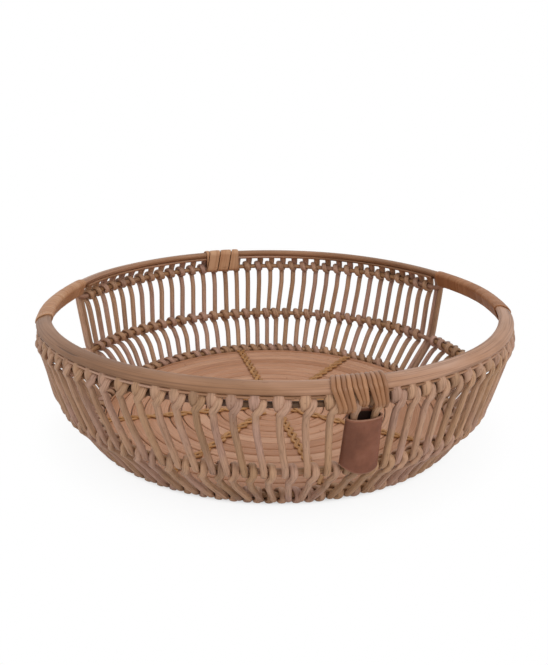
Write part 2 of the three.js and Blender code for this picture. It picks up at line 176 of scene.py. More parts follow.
# %% Join sections into a skin
def skin(sections, closed, offset):
    """Quads from each section to the next; round a section the last point joins the first."""
    count, around = sections.shape[:2]
    corner = offset + np.arange(count * around).reshape(count, around)
    ahead = np.roll(corner, -1, 0)
    if not closed:
        corner, ahead = corner[:-1], ahead[:-1]
    quads = [corner, np.roll(corner, -1, 1), np.roll(ahead, -1, 1), ahead]
    faces = np.stack(quads, -1).reshape(-1, 4).tolist()
    if not closed:
        faces.append((offset + np.arange(around))[::-1].tolist())
        faces.append((offset + np.arange((count - 1) * around, count * around)).tolist())
    return faces


print("3 open sections of 4 points:", len(skin(np.zeros((3, 4, 3)), False, 0)), "faces")


# %% Make a piece of its skins
def make_piece(name, runs, finish, nodes):
    """runs is a list of (sections, grain, tone, closed): points in metres, the grain's own
    coordinates for each of them, and how pale that cane is, from 0 to 1."""
    faces = []
    offset = 0
    for sections, _, _, closed in runs:
        faces += skin(sections, closed, offset)
        offset += sections.shape[0] * sections.shape[1]
    points = np.concatenate([run[0].reshape(-1, 3) for run in runs])
    grain = np.concatenate([run[1].reshape(-1, 3) for run in runs])
    tone = np.concatenate([np.broadcast_to(run[2], run[0].shape[:2]).ravel() for run in runs])
    mesh = bpy.data.meshes.new(name)
    mesh.from_pydata(points, [], faces)
    mesh.polygons.foreach_set("use_smooth", np.ones(len(mesh.polygons), bool))
    mesh.attributes.new("grain", "FLOAT_VECTOR", "POINT").data.foreach_set("vector", grain.ravel())
    mesh.attributes.new("tone", "FLOAT", "POINT").data.foreach_set("value", tone.ravel())
    mesh.materials.append(finish)
    piece = bpy.data.objects.new(name, mesh)
    bpy.context.scene.collection.objects.link(piece)
    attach(piece, "root")
    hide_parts(*nodes)
    print(name, len(mesh.vertices), "points")


# %% [markdown]
# ## Sections and runs
# A peeled core is round, and a split cane is flat with soft corners. Both outlines are the same
# formula, the superellipse, with another power. A closed ring is turned on the tray's own axis.
# Anything else is carried along a path: each section stands square to the path, and one of its
# two directions is kept as near as it can be to a direction that we choose.

# %% Draw the outline of a cane
def outline(width, thickness, around, power=2.0):
    """Superellipse: half width times cos to the 2/power, half thickness times sin to the 2/power."""
    turn = 2 * np.pi * (np.arange(around) + 0.5) / around
    cosine, sine = np.cos(turn), np.sin(turn)
    across = width / 2 * np.sign(cosine) * np.abs(cosine) ** (2 / power)
    through = thickness / 2 * np.sign(sine) * np.abs(sine) ** (2 / power)
    return np.stack([across, through], -1)


corners = outline(HOOP_ROD, HOOP_ROD, around=16)
print("a rod's outline:", len(corners), "points,", round(float(np.ptp(corners[:, 0])), 2), "mm wide")


# %% Turn a section round the tray
def ring_run(angle, radius, height, section, tone=0.5, closed=True, drop=0.0, wide=1.0):
    """A section turned about the tray's axis: its width lies out from the axis and falls by the
    angle drop, and its thickness stands up. Its points go clockwise, so the skin faces out. The
    grain's length is the sum of radius times the step in angle."""
    angle = np.asarray(angle, float)
    fall = np.radians(drop)
    across = section[::-1, 0] * np.reshape(wide, (-1, 1))
    through = section[::-1, 1]
    out = across * np.cos(fall) + through * np.sin(fall)
    up = -across * np.sin(fall) + through * np.cos(fall)
    radius = np.broadcast_to(radius, angle.shape)[:, None]
    height = np.broadcast_to(height, angle.shape)[:, None]
    sections = placed(angle[:, None], radius + out, height + up)
    step = np.radians(np.diff(angle, prepend=angle[:1]))[:, None]
    length = np.cumsum(step * radius, axis=0)
    grain = np.stack(np.broadcast_arrays(length * MM, across * MM, through * MM), -1)
    return sections, grain, tone, closed


# %% Carry a section along a path
def unit(vectors):
    """Each vector divided by its own length."""
    return vectors / np.linalg.norm(vectors, axis=-1, keepdims=True)


def carried_run(path, side, section, tone=0.5, scale=(1.0, 1.0), shift=(0.0, 0.0, 0.0)):
    """With t the way ahead, the first axis is side − (side·t) t, made one long, and the second is
    t × first. Each point is path + across·first + through·second. The two scales widen and press
    the section, and may change along the path."""
    ahead = unit(np.gradient(path, axis=0))
    first = unit(side - np.sum(side * ahead, -1, keepdims=True) * ahead)
    second = np.cross(ahead, first)
    wide, thick = [np.broadcast_to(part, path.shape[:1])[:, None, None] for part in scale]
    across = MM * wide * section[None, :, :1]
    through = MM * thick * section[None, :, 1:]
    sections = path[:, None] + across * first[:, None] + through * second[:, None]
    length = np.concatenate([[0], np.cumsum(np.linalg.norm(np.diff(path, axis=0), axis=-1))])
    parts = np.broadcast_arrays(length[:, None], MM * section[None, :, 0], MM * section[None, :, 1])
    grain = np.stack(parts, -1) + np.asarray(shift)
    return sections, grain, tone, False


# %% Smooth a path
def smooth_run(stops, steps):
    """Uniform cubic B-spline: each point blends four neighbouring stops. The run starts and ends
    on its first and last stop, because these are repeated."""
    held = np.concatenate([stops[:, :1]] * 2 + [stops] + [stops[:, -1:]] * 2, 1)
    t = np.arange(steps) / steps
    weights = [(1 - t) ** 3, 3 * t**3 - 6 * t**2 + 4, -3 * t**3 + 3 * t**2 + 3 * t + 1, t**3]
    blend = np.stack(weights, -1) / 6
    spans = held.shape[1] - 3
    windows = np.stack([held[:, i : i + spans] for i in range(4)], 2)
    return np.einsum("ta,skac->sktc", blend, windows).reshape(len(stops), -1, 3)


def round_the_tray(path):
    """The direction in which the angle grows, level, at each point of a path."""
    return unit(np.stack([-path[..., 1], path[..., 0], np.zeros(path.shape[:-1])], -1))


# %% [markdown]
# ## Writing shader maths
# A material in Blender is a small network of nodes. Wiring it by hand hides the sum that it does,
# so one small class wraps a socket and lets us write `1 - mask * 0.5`. A second class builds any
# other node from its type, its settings and its sockets' values.

# %% A socket that can be calculated with
class Value:
    """A node's output. A sum of such values adds the Math nodes that work it out."""

    def __init__(self, finish, socket):
        self.finish = finish
        self.socket = socket

    def maths(self, operation, first, second):
        """One Math node, whose two numbers may be values or plain numbers."""
        settings = {"operation": operation}
        return self.finish.value("ShaderNodeMath", settings, {0: first, 1: second})

    def __add__(self, other):
        return self.maths("ADD", self, other)

    __radd__ = __add__

    def __sub__(self, other):
        return self.maths("SUBTRACT", self, other)

    def __rsub__(self, other):
        return self.maths("SUBTRACT", other, self)

    def __mul__(self, other):
        return self.maths("MULTIPLY", self, other)

    __rmul__ = __mul__

    def above(self, low, high):
        """0 below low and 1 above high, and a soft step between them."""
        settings = {"interpolation_type": "SMOOTHSTEP"}
        sockets = {"Value": self, "From Min": low, "From Max": high}
        return self.finish.value("ShaderNodeMapRange", settings, sockets)


def tint(red, green, blue):
    """A colour as a paint chip gives it, 0 to 255, in the linear light that Blender works in."""
    parts = np.array([red, green, blue]) / 255
    linear = np.where(parts <= 0.04045, parts / 12.92, ((parts + 0.055) / 1.055) ** 2.4)
    return (*linear.tolist(), 1.0)


print("pale straw in linear light:", np.round(tint(208, 178, 148), 3))

# %% A material in the making
SHEEN = 0.3


class Finish:
    """The nodes of a material, or of the world, while they are being put together."""

    def __init__(self, owner):
        self.owner = owner
        owner.use_nodes = True
        self.tree = owner.node_tree
        self.tree.nodes.clear()

    def node(self, kind, settings=None, sockets=None):
        """A node of any type. Its settings and a ramp's stops come first, and then each socket
        gets a plain value or a link."""
        node = self.tree.nodes.new(kind)
        for name, setting in (settings or {}).items():
            if name == "stops":
                ramp = node.color_ramp.elements
                for _ in setting[2:]:
                    ramp.new(0.5)
                for stop, (place, colour) in zip(ramp, setting):
                    stop.position = place
                    stop.color = colour
            else:
                setattr(node, name, setting)
        for name, value in (sockets or {}).items():
            if isinstance(value, Value):
                self.tree.links.new(value.socket, node.inputs[name])
            else:
                node.inputs[name].default_value = value
        return node

    def value(self, kind, settings=None, sockets=None, output=0):
        """The same, as one of the node's outputs to calculate with."""
        return Value(self, self.node(kind, settings, sockets).outputs[output])

    def attribute(self, name, output):
        """What the mesh carries under this name, blended between its points."""
        return self.value("ShaderNodeAttribute", {"attribute_name": name}, None, output)

    def noise(self, grain, along, across, detail=3.0, rough=0.55):
        """Spots of noise, drawn out along the grain as many times as across is more than along."""
        sockets = {0: grain, 1: (along, across, across)}
        stretched = self.value("ShaderNodeVectorMath", {"operation": "MULTIPLY"}, sockets)
        sockets = {"Vector": stretched, "Scale": 1.0, "Detail": detail, "Roughness": rough}
        return self.value("ShaderNodeTexNoise", None, sockets)

    def mixed(self, share, first, second):
        """first · (1 − share) + second · share, for two colours."""
        sockets = {0: share, 6: first, 7: second}
        return self.value("ShaderNodeMix", {"data_type": "RGBA"}, sockets, 2)

    def ramp(self, share, stops):
        """The colour at this share, blended evenly between the two stops around it."""
        return self.value("ShaderNodeValToRGB", {"stops": stops}, {0: share})

    def bumped(self, height, distance):
        """The normal, tilted by the slope of height times distance."""
        return self.value("ShaderNodeBump", None, {"Height": height, "Distance": distance})

    def surface(self, colour, roughness, normal, constants=None):
        """The last two nodes: one shader of all that was worked out, and the output."""
        sockets = {"Base Color": colour, "Roughness": roughness, "Normal": normal}
        sockets["Specular IOR Level"] = SHEEN
        shader = self.value("ShaderNodeBsdfPrincipled", None, sockets | (constants or {}))
        self.node("ShaderNodeOutputMaterial", None, {"Surface": shader})
        print("finish:", self.owner.name, len(self.tree.nodes), "nodes")
        return self.owner


def new_finish(name):
    """A new material of this name, with no nodes yet."""
    return Finish(bpy.data.materials.new(name))


# %% [markdown]
# ## Peeled rattan core
# The strands and the hoops are the inside of the vine. It has no skin: fine open pores run along
# it as hair-thin lines, and it takes up dirt unevenly. No two strands have the same colour, so
# each has its own tone, from brown to pale straw, and blushes of pink and of gold come and go
# along it. The noise is stretched some forty times along the grain, which turns spots into fibres.

# %% The core's finish
def core_finish(name, tints, fibre, stain):
    """The cloudy tone picks the tint, and fibres, pores, clouds and specks are laid over it."""
    finish = new_finish(name)
    grain = finish.attribute("grain", "Vector")
    tone = finish.attribute("tone", "Fac")
    fibres = finish.noise(grain, along=28.0, across=1150.0, detail=4.0, rough=0.6)
    pores = finish.noise(grain, along=112.0, across=2530.0, detail=2.0)
    clouds = finish.noise(grain, along=34.0, across=130.0, detail=2.0)
    specks = finish.noise(grain, along=420.0, across=620.0, detail=1.0)
    colour = finish.ramp(tone + (clouds - 0.5) * 0.55, tints)
    blush = finish.noise(grain, along=16.0, across=5.0, detail=1.0)
    colour = finish.mixed(blush.above(0.5, 0.62) * 0.5, colour, tint(178, 140, 128))
    colour = finish.mixed((1 - blush).above(0.5, 0.62) * 0.3, colour, tint(190, 146, 104))
    colour = finish.mixed(fibres.above(0.46, 0.7) * 0.5, colour, fibre)
    colour = finish.mixed(pores.above(0.58, 0.7) * 0.55, colour, fibre)
    colour = finish.mixed(clouds.above(0.56, 0.74) * 0.35, colour, stain)
    colour = finish.mixed(specks.above(0.7, 0.78) * 0.55, colour, stain)
    height = fibres - pores.above(0.6, 0.72) * 0.6
    shine = 0.5 + (fibres - 0.5) * 0.35
    return finish.surface(colour, shine, finish.bumped(height, distance=0.00032))


strand_tints = [
    (0.05, tint(148, 114, 86)),
    (0.3, tint(170, 132, 102)),
    (0.55, tint(188, 148, 119)),
    (0.8, tint(188, 148, 126)),
    (0.98, tint(208, 178, 148)),
]
strand_finish = core_finish("peeled_strand", strand_tints, tint(116, 84, 60), tint(132, 90, 58))
hoop_tints = [
    # The darkest stop is painted shade, for the top hoop in front, where the rim shades it.
    (0.0, tint(82, 58, 40)),
    (0.3, tint(152, 112, 76)),
    (0.5, tint(172, 130, 94)),
    (0.9, tint(190, 150, 116)),
]
hoop_finish = core_finish("hoop_core", hoop_tints, tint(112, 78, 52), tint(128, 84, 52))

# %% [markdown]
# ## Rim pole
# The rim is a thicker pole, pressed flat while it was steamed. Handling has polished it, and it is
# pinker than the strands. Its grain is longer, with a few dark drying cracks, and here and there
# the brown of the skin is left.

# %% The rim's finish
def pole_finish(name, tints):
    """As the core's, with longer fibres, drying cracks, and knots of darker wood."""
    finish = new_finish(name)
    grain = finish.attribute("grain", "Vector")
    tone = finish.attribute("tone", "Fac")
    fibres = finish.noise(grain, along=9.0, across=780.0, detail=5.0, rough=0.6)
    cracks = finish.noise(grain, along=16.0, across=420.0, detail=1.0).above(0.69, 0.74)
    clouds = finish.noise(grain, along=22.0, across=90.0)
    knots = finish.noise(grain, along=120.0, across=260.0, detail=1.0)
    colour = finish.ramp(tone + (clouds - 0.5) * 0.8, tints)
    colour = finish.mixed(fibres.above(0.48, 0.66) * 0.6, colour, tint(106, 74, 54))
    colour = finish.mixed(cracks * 0.65, colour, tint(84, 56, 40))
    colour = finish.mixed(knots.above(0.73, 0.8) * 0.5, colour, tint(104, 70, 46))
    shine = 0.42 + (fibres - 0.5) * 0.4
    return finish.surface(colour, shine, finish.bumped(fibres - cracks, distance=0.00025))


pole_tints = [
    (0.05, tint(132, 94, 66)),
    (0.35, tint(154, 112, 81)),
    (0.6, tint(174, 130, 101)),
    (0.95, tint(188, 149, 126)),
]
rim_finish = pole_finish("rim_pole", pole_tints)

# %% [markdown]
# ## Rim and hoops
# The rim is an oval pole whose outer edge sits lower than its inner edge, and the hoops are round
# rods. A Blender circle with a bevel could make them, but a pole that was bent by hand is never
# quite true. Here each ring wanders by a few tenths of a millimetre, as a sum of slow sine waves,
# and its tone changes round the tray: 0 is the darkest tint of a finish and 1 the palest.
# On the rim and the top hoop, part of that change is painted shade and painted light.

# %% Make the rings
RIM_WIDTH = 13.0
RIM_THICKNESS = 6.6
RIM_DROP = 20.0
# The rim's tone round the tray. The dark span from 225 to 245 degrees, on the front left, is painted
# shade, and the pale span near 310 degrees, on the front right, is painted light, as the lamps fall
# from the right. The wander adds the pole's own uneven colour.
RIM_TONE_LIGHT_AND_SHADE = [
    (0, 0.62), (18, 0.5), (28, 0.14), (50, 0.18), (66, 0.42), (150, 0.44), (200, 0.35),
    (225, 0.1), (245, 0.15), (270, 0.52), (310, 0.8), (360, 0.62),
]
# The top hoop's tone: in front it falls nearly to 0, painted shade where the rim hangs over the hoop.
TOP_TONE_RIM_SHADE = [(0, 0.45), (190, 0.45), (198, 0.02), (340, 0.02), (348, 0.45), (360, 0.45)]
RING_PLACES = 720

round_angles = np.arange(RING_PLACES) * 360 / RING_PLACES
rod = outline(HOOP_ROD, HOOP_ROD, around=16)
rim_section = outline(RIM_WIDTH, RIM_THICKNESS, around=32, power=2.25)
rim_tone_light_and_shade = eased(round_angles, RIM_TONE_LIGHT_AND_SHADE) + wander(round_angles, 0.35, seed=3)
rim_out, rim_up = rim_off(round_angles)
rim_run = ring_run(
    round_angles,
    RIM[0] + rim_out,
    RIM[1] + rim_up,
    rim_section,
    rim_tone_light_and_shade[:, None],
    drop=RIM_DROP,
)
make_piece("rim_pole_bent", [rim_run], rim_finish, ["rim_pole"])
top_radius, top_height = top_hoop_at(round_angles)
middle_radius = middle_hoop_at(round_angles)[0] + wander(round_angles, 0.3, seed=4)
base_radius = BASE[0] + wander(round_angles, 0.4, seed=5)
for name, radius, height, shade in (
    ("top_hoop", top_radius, top_height, eased(round_angles, TOP_TONE_RIM_SHADE)),
    ("middle_hoop", middle_radius, MIDDLE[1], 0.45),
    ("base_hoop", base_radius, BASE[1], 0.45),
):
    tone = (shade + wander(round_angles, 0.2, seed=6))[:, None]
    run = ring_run(round_angles, radius, height, rod, tone)
    make_piece(name + "_rod", [run], hoop_finish, [name])

# %% [markdown]
# ## Rim liner
# Two flat strips line the rim below, one in front and one at the back, and end at the grips. The
# strands' tops are pinched between the strip and the rim. Each is a ring that isn't closed, and
# it wanders in and out a little more than the rim does.

# %% Line the rim
LINER_PLACES = 320
FRONT_LINER = (199.7, 101.0)
BACK_LINER = (193.6, 102.4)
FRONT_LINER_CANE = (4.6, 2.1)
BACK_LINER_CANE = (5.6, 2.6)


def liner(name, span, centre, cane, drop):
    """A strip from the first to the last angle of span, whose middle keeps to the rim's own
    wandering and adds its own."""
    angle = np.linspace(*span, LINER_PLACES)
    out, up = rim_off(angle)
    radius = centre[0] + out + wander(angle, 0.3, seed=7)
    height = centre[1] + up + wander(angle, 0.2, seed=10)
    tone = 0.45 + wander(angle, 0.9, seed=8)[:, None]
    section = outline(*cane, around=16, power=3.0)
    run = ring_run(angle, radius, height, section, tone, closed=False, drop=drop)
    make_piece(name + "_liner", [run], rim_finish, [name + "_rim_liner"])


liner("back", (RIGHT_HOLE[1] - 359, LEFT_HOLE[0] - 1), BACK_LINER, BACK_LINER_CANE, RIM_DROP)
liner("front", (LEFT_HOLE[1] + 1, RIGHT_HOLE[0] - 1), FRONT_LINER, FRONT_LINER_CANE, drop=0.0)

# %% [markdown]
# ## Strands
# One strand is a long story: it starts under the rim, comes down outside the top hoop, turns in
# below it, climbs behind it and over its top, and then crosses its own start, down to the left.
# It does the same at the middle hoop, and it ends below the floor. A rounded fingertip with an
# arm across it is what shows at each hoop.
# A table says where the middle of the strand is at each stop of a turn. All strands are then
# computed at once, as one array of strand × stop, and a B-spline makes the bends soft.

# %% Stops of a turn round a hoop
REACH = 4.3
PRESSED = 0.66
CROSSED = 2.8
TURN_REACH = (HOOP_ROD + STRAND_ROD * PRESSED) / 2
# Share of the sideways crest, out and up in reaches, and share of the change of lean
ROUND_HOOP = [
    (0.00, 1.12, 0.65, 0.0),
    (0.00, 0.92, -0.62, 0.1),
    (0.10, 0.10, -1.12, 0.3),
    (0.28, -0.78, -0.80, 0.45),
    (0.52, -1.10, 0.00, 0.6),
    (0.76, -0.78, 0.80, 0.75),
    (0.94, 0.00, 1.14, 0.9),
    (1.02, 0.86, 0.96, 1.0),
]
# Share of the crest's lead that is left, share of the lift over the strand's own start, and how
# far up, in millimetres
ACROSS_START = [
    (1.00, 0.40, 1.6),
    (0.78, 0.85, -1.2),
    (0.30, 1.00, -3.3),
    (0.00, 0.75, -5.0),
    (0.00, 0.35, -7.0),
    (0.00, 0.10, -10.0),
    (0.00, 0.00, -15.0),
    (0.00, 0.00, -19.0),
]


def beside(hoop, lean, out, up):
    """Radius and height of a point out from a hoop's middle and up along a wall that leans so."""
    tilt = np.radians(lean)
    radius = hoop[0] + out * np.cos(tilt) + up * np.sin(tilt)
    return radius, hoop[1] - out * np.sin(tilt) + up * np.cos(tilt)


def turn_stops(hoop, leans, crest, kept, higher=0.0):
    """The stops of one turn as (sideways, radius, height), for all strands at once. Where the
    strand crosses its own start it is lifted by CROSSED·sqrt(1 − (sideways / rod)²), which is less
    than a whole rod because both are pressed flat there."""
    stops = []
    for share, out, up, turned in ROUND_HOOP:
        lean = leans[0] + (leans[1] - leans[0]) * turned
        stops.append((crest * share, *beside(hoop, lean, out * TURN_REACH, up * TURN_REACH)))
    for share, lifted, up in ACROSS_START:
        aside = kept + (crest - kept) * share
        over = CROSSED * lifted * np.sqrt(np.clip(1 - (aside / STRAND_ROD) ** 2, 0.05, None))
        stops.append((aside, *beside(hoop, leans[1], REACH + over, up + higher)))
    return stops


def moved(stops, aside):
    """The same stops, further along the tray."""
    return [(sideways + aside, radius, height) for sideways, radius, height in stops]


def joined(upper, lower, shares=(0.3, 0.65, 0.9)):
    """Straight stops between the last stop of one turn and the first of the next."""
    last, first = upper[-1], lower[0]
    between = [tuple(a + (b - a) * share for a, b in zip(last, first)) for share in shares]
    return upper + between + lower


print("stops of a turn:", len(ROUND_HOOP), "round the hoop and", len(ACROSS_START), "beyond it")

# %% [markdown]
# ## How far the strands drift
# Each turn carries the strand on along the tray. How far differs from place to place: the weaver
# pulled the left front askew, right of the leather the ribs stand straight, and at the back they
# lean a little, now this way and now that. These drifts are read off the picture, at a few angles
# each, and are eased in between.

# %% Say how far the strands drift
# Each list holds an angle and a number of millimetres. A crest is the furthest that a turn goes
# aside, and what is kept of it is where the strand comes out. A drift is what it gains from there
# to the next hoop. The shift sets whole strands back, so that they stand where the picture's do.
TOP_CREST = [
    (0, 4.6), (190, 4.6), (200, 5.1), (276, 5.1), (279, 2.6), (284.5, 2.6), (287.5, 5.0),
    (293, 4.5), (347, 4.5), (360, 4.6),
]
TOP_KEPT = [(0, 1.4), (190, 1.4), (200, 0.8), (278, 0.6), (292, 1.2), (347, 1.3), (360, 1.4)]
TOP_HIGHER = [(0, 0.8), (190, 0.8), (200, 1.6), (276, 1.4), (290, 0.0), (347, 0.0), (360, 0.8)]
RIB_DRIFT = [
    (0, -0.3), (30, -0.3), (45, 0.8), (58, 2.6), (68, 3.6), (80, 3.6), (90, 1.8), (98, 0.2),
    (104, 2.2), (116, 4.2), (134, 4.4), (144, 2.6), (150, 0.8), (188, 0.0), (200, 7.0), (232, 9.0),
    (248, 7.0), (260, 6.4), (268, 4.0), (276, 1.5), (282, 0.6), (292, -0.6), (298, 1.7),
    (310, -0.5), (347, -0.9), (360, -0.3),
]
MIDDLE_CREST = [(0, 5.0), (190, 5.0), (200, 6.4), (285, 6.4), (300, 5.8), (360, 5.8)]
MIDDLE_KEPT = [(0, 1.6), (190, 1.6), (200, 2.8), (280, 2.8), (300, 0.8), (360, 0.8)]
LOWER_DRIFT = [
    (0, 0.0), (30, -0.4), (78, -0.2), (96, 1.5), (112, 4.0), (128, 5.0), (138, 3.6), (150, 1.2),
    (188, 1.0), (200, 5.0), (250, 8.0), (258, 6.0), (263, 3.0),
    (268, 0.8), (275, -6.0), (280, -5.0), (288, -1.0), (300, 0.5), (360, 0.5),
]
SHIFT = [
    (0, 1.0), (190, 1.0), (228, 4.3), (240, 2.8), (247, 3.4), (258.6, 8.7), (264, 8.4),
    (275.5, 3.5), (279.7, 2.0), (284, 1.9), (288.2, 0.9), (296, 5.2), (305, 7.2), (322, 8.0),
    (345, 2.6), (360, 1.0),
]
drifts = [drift for _, drift in RIB_DRIFT]
print("ribs drift by", min(drifts), "to", max(drifts), "mm")

# %% [markdown]
# ## Paths of the strands
# A strand starts under the rim, or under a grip at the middle hoop, and its turns are strung
# together with straight stops in between. Below the base hoop it bends in under the floor, and its
# tail ends there among the others. Hands aren't exact, so each strand is loose by a fraction of a
# millimetre.

# %% Bend the tails in below the floor
BASE_CREST = 7.4
BASE_KEPT = 4.8
TAIL_RADIUS = 141.0
TAIL_LEVEL = STRAND_ROD / 2 + 0.15
# Out from the base hoop, and up from the tail
TAIL_BEND = [(2.6, 0.3), (-3.0, 0.0), (-9.0, 0.0)]


def base_stops(aside):
    """One more turn, round the base hoop, and then in below the floor to the tail's end."""
    turn = turn_stops(BASE, (LOWER_LEAN, LOWER_LEAN), BASE_CREST, BASE_KEPT)
    stops = moved(turn[: len(ROUND_HOOP) + 2], aside)
    end = aside + BASE_KEPT
    stops += [(end, BASE[0] + out, TAIL_LEVEL + up) for out, up in TAIL_BEND]
    return stops + [(end, TAIL_RADIUS, TAIL_LEVEL)]


print("tails end", round(BASE[0] - TAIL_RADIUS, 1), "mm inside the base hoop")

# %% Lead the strands from hoop to hoop
TOP_START_LEAN = -22.0
RIM_UNDERSIDE = 102.4
TUCKED_IN = 1.2
HALF_WAY_UP = 0.62
SHORT_TUCKED_IN = 0.4
SHORT_START = 0.9
LOOSE = 0.35


def led_round(angle, stops, shift=0.0):
    """Strand by stop, the points of these stops: the sideways part, less the shift, is turned into
    degrees by the radius that it is at."""
    parts = [np.broadcast_arrays(angle, *stop)[1:] for stop in stops]
    aside, radius, height = np.stack([np.stack(part) for part in parts], 1)
    return placed(angle + np.degrees((aside - shift) / radius), radius, height)


def strand_paths(angles, whole):
    """Paths of these strands. A whole one starts under the rim, a short one at the middle hoop."""
    angles = np.asarray(angles, float)
    loose = chance.normal(0, LOOSE, (4, len(angles)))
    top_kept = eased(angles, TOP_KEPT)
    middle_crest = eased(angles, MIDDLE_CREST) + loose[1]
    middle_kept = eased(angles, MIDDLE_KEPT)
    hoop = middle_hoop_at(angles)
    middle = turn_stops(hoop, (UPPER_LEAN, LOWER_LEAN), middle_crest, middle_kept)
    if whole:
        hoop = top_hoop_at(angles)
        crest = eased(angles, TOP_CREST) + loose[0]
        higher = eased(angles, TOP_HIGHER)
        top = turn_stops(hoop, (TOP_START_LEAN, UPPER_LEAN), crest, top_kept, higher)
        rise = RIM_UNDERSIDE - hoop[1]
        start = [
            (0.0, *beside(hoop, TOP_START_LEAN, REACH - TUCKED_IN, rise)),
            (0.0, *beside(hoop, TOP_START_LEAN, REACH, rise * HALF_WAY_UP)),
        ]
        reached = top_kept + eased(angles, RIB_DRIFT) + loose[2]
        stops = joined(start + top, moved(middle, reached))
    else:
        reached = 0.0
        start = beside(hoop, UPPER_LEAN, REACH - SHORT_TUCKED_IN, REACH * SHORT_START)
        stops = [(0.0, *start)] + middle
    end = reached + middle_kept + eased(angles, LOWER_DRIFT) + loose[3]
    return led_round(angles, joined(stops, base_stops(end)), eased(angles, SHIFT))


# %% [markdown]
# ## Thickness of the strands
# A wet strand that is pulled tight round a hoop goes flat there and a little wider. Between the rim
# and its own turn its end is squeezed out into a knob. Both could be sculpted, but the sharpness
# of the bend says by itself where a strand is flat, so one formula serves all of them.

# %% Find where a strand is straight
SOFTENED_OVER = 9
PRESS_GAIN = 1.1


def straight_at(path):
    """1 on a straight run and 0 in a tight bend: the bend is the change of direction per length,
    times the radius of a turn round a hoop, averaged over a few places."""
    step = np.diff(path, axis=0)
    length = np.linalg.norm(step, axis=-1)
    turned = np.linalg.norm(np.diff(unit(step), axis=0), axis=-1)
    bend = turned / (length[1:] + length[:-1]) * 2 * TURN_REACH * MM
    bend = np.concatenate([bend[:1], bend, bend[-1:]])
    window = np.hanning(SOFTENED_OVER)
    held = np.pad(bend, SOFTENED_OVER // 2, mode="edge")
    soft = np.convolve(held, window / window.sum(), mode="valid")
    return np.clip(1 - soft * PRESS_GAIN, 0, 1)


print("a turn is pressed to", round(PRESSED * STRAND_ROD, 2), "mm thick")

# %% Skin the strands
STEPS = 4
BEND_WIDER = 0.12
KNOB_WIDER = [(0, 0.3), (190, 0.3), (200, 0.7), (347, 0.7), (360, 0.3)]
KNOB_THICKER = 0.6
KNOB_START = 6.0
KNOB_END = 14.0
ROD_SPREAD = 0.025
STRAND_TONE = 0.54
TONE_SPREAD = 0.15


def strand_runs(angles, whole):
    """Round skins along the paths, each with its own thickness and tone. The width grows by the
    bend and by the knob, and the thickness falls to PRESSED in a bend. The knob fades out between
    KNOB_START and KNOB_END along the strand."""
    paths = smooth_run(strand_paths(angles, whole).transpose(1, 0, 2), STEPS)
    section = outline(STRAND_ROD, STRAND_ROD, around=12)
    runs = []
    for path, wider in zip(paths, eased(angles, KNOB_WIDER)):
        thick = 1 + chance.normal(0, ROD_SPREAD)
        tone = np.clip(chance.normal(STRAND_TONE, TONE_SPREAD), 0.02, 0.98)
        grain_shift = chance.uniform(0, 1, 3)
        straight = straight_at(path)
        length = np.cumsum(np.linalg.norm(np.diff(path, axis=0, prepend=path[:1]), axis=-1)) / MM
        knob = np.clip((KNOB_END - length) / (KNOB_END - KNOB_START), 0, 1) * wider
        width = 1 + BEND_WIDER * (1 - straight) + knob
        thickness = PRESSED + (1 - PRESSED) * straight + knob * KNOB_THICKER
        scale = (thick * width, thick * thickness)
        runs.append(carried_run(path, round_the_tray(path), section, tone, scale, grain_shift))
    return runs


# %% [markdown]
# ## Panels of strands
# The strands between two posts make a panel. In the CAD model a few neighbours are one node, so
# one Blender piece stands for each such group. The angles repeat the CAD model's spacing: even
# steps from one post, with room for the last strand's turn beside the next post.

# %% Make the panels
def panel(name, start, pitch, count, groups, whole=True):
    """Strand i stands at start + pitch·i, and the groups share the strands as evenly as they can."""
    angles = start + pitch * np.arange(1, count + 1)
    edges = [math.floor(count * i / groups + 0.5) for i in range(groups + 1)]
    for i in range(groups):
        node = f"{name}_{i + 1}"
        runs = strand_runs(angles[edges[i] : edges[i + 1]], whole)
        make_piece(node + "_bent", runs, strand_finish, [node])


BACK_START = RIGHT_HOLE[1] - 360
BACK_PITCH = 3.65
FRONT_PITCH = 4.225
LEFT_PITCH = 3.566
RIGHT_PITCH = 4.01
panel("back_strands", BACK_START, BACK_PITCH, count=34, groups=8)
panel("front_strands", LEFT_HOLE[1], FRONT_PITCH, count=36, groups=9)
panel("left_short_strands", LEFT_HOLE[0], LEFT_PITCH, count=9, groups=2, whole=False)
panel("right_short_strands", RIGHT_HOLE[0], RIGHT_PITCH, count=9, groups=2, whole=False)

# %% [markdown]
# ## Posts
# A post closes each side of a hand hole. It is two strands side by side that run straight from the
# rim down past all three hoops, without a turn, and in under the floor.

# %% Make the posts
POST_HALF = 2.5
POST_CONTRAST = 0.3
POST_END = (0.6, 1.0)
POST_SHOULDER = (REACH * 0.9, 2.0)
POST_BELOW_TOP = 6.0
POST_BEND_HALF = 8.0
POST_BEND_OUT = 0.2
# Out from the base hoop, up from it, and how far the lean has gone over to level
POST_FOOT = [(4.7, 3.0, 0.0), (4.9, 0.0, 0.35), (5.0, 0.0, 0.7)]
POST_TAIL = (-1.0, -8.0)


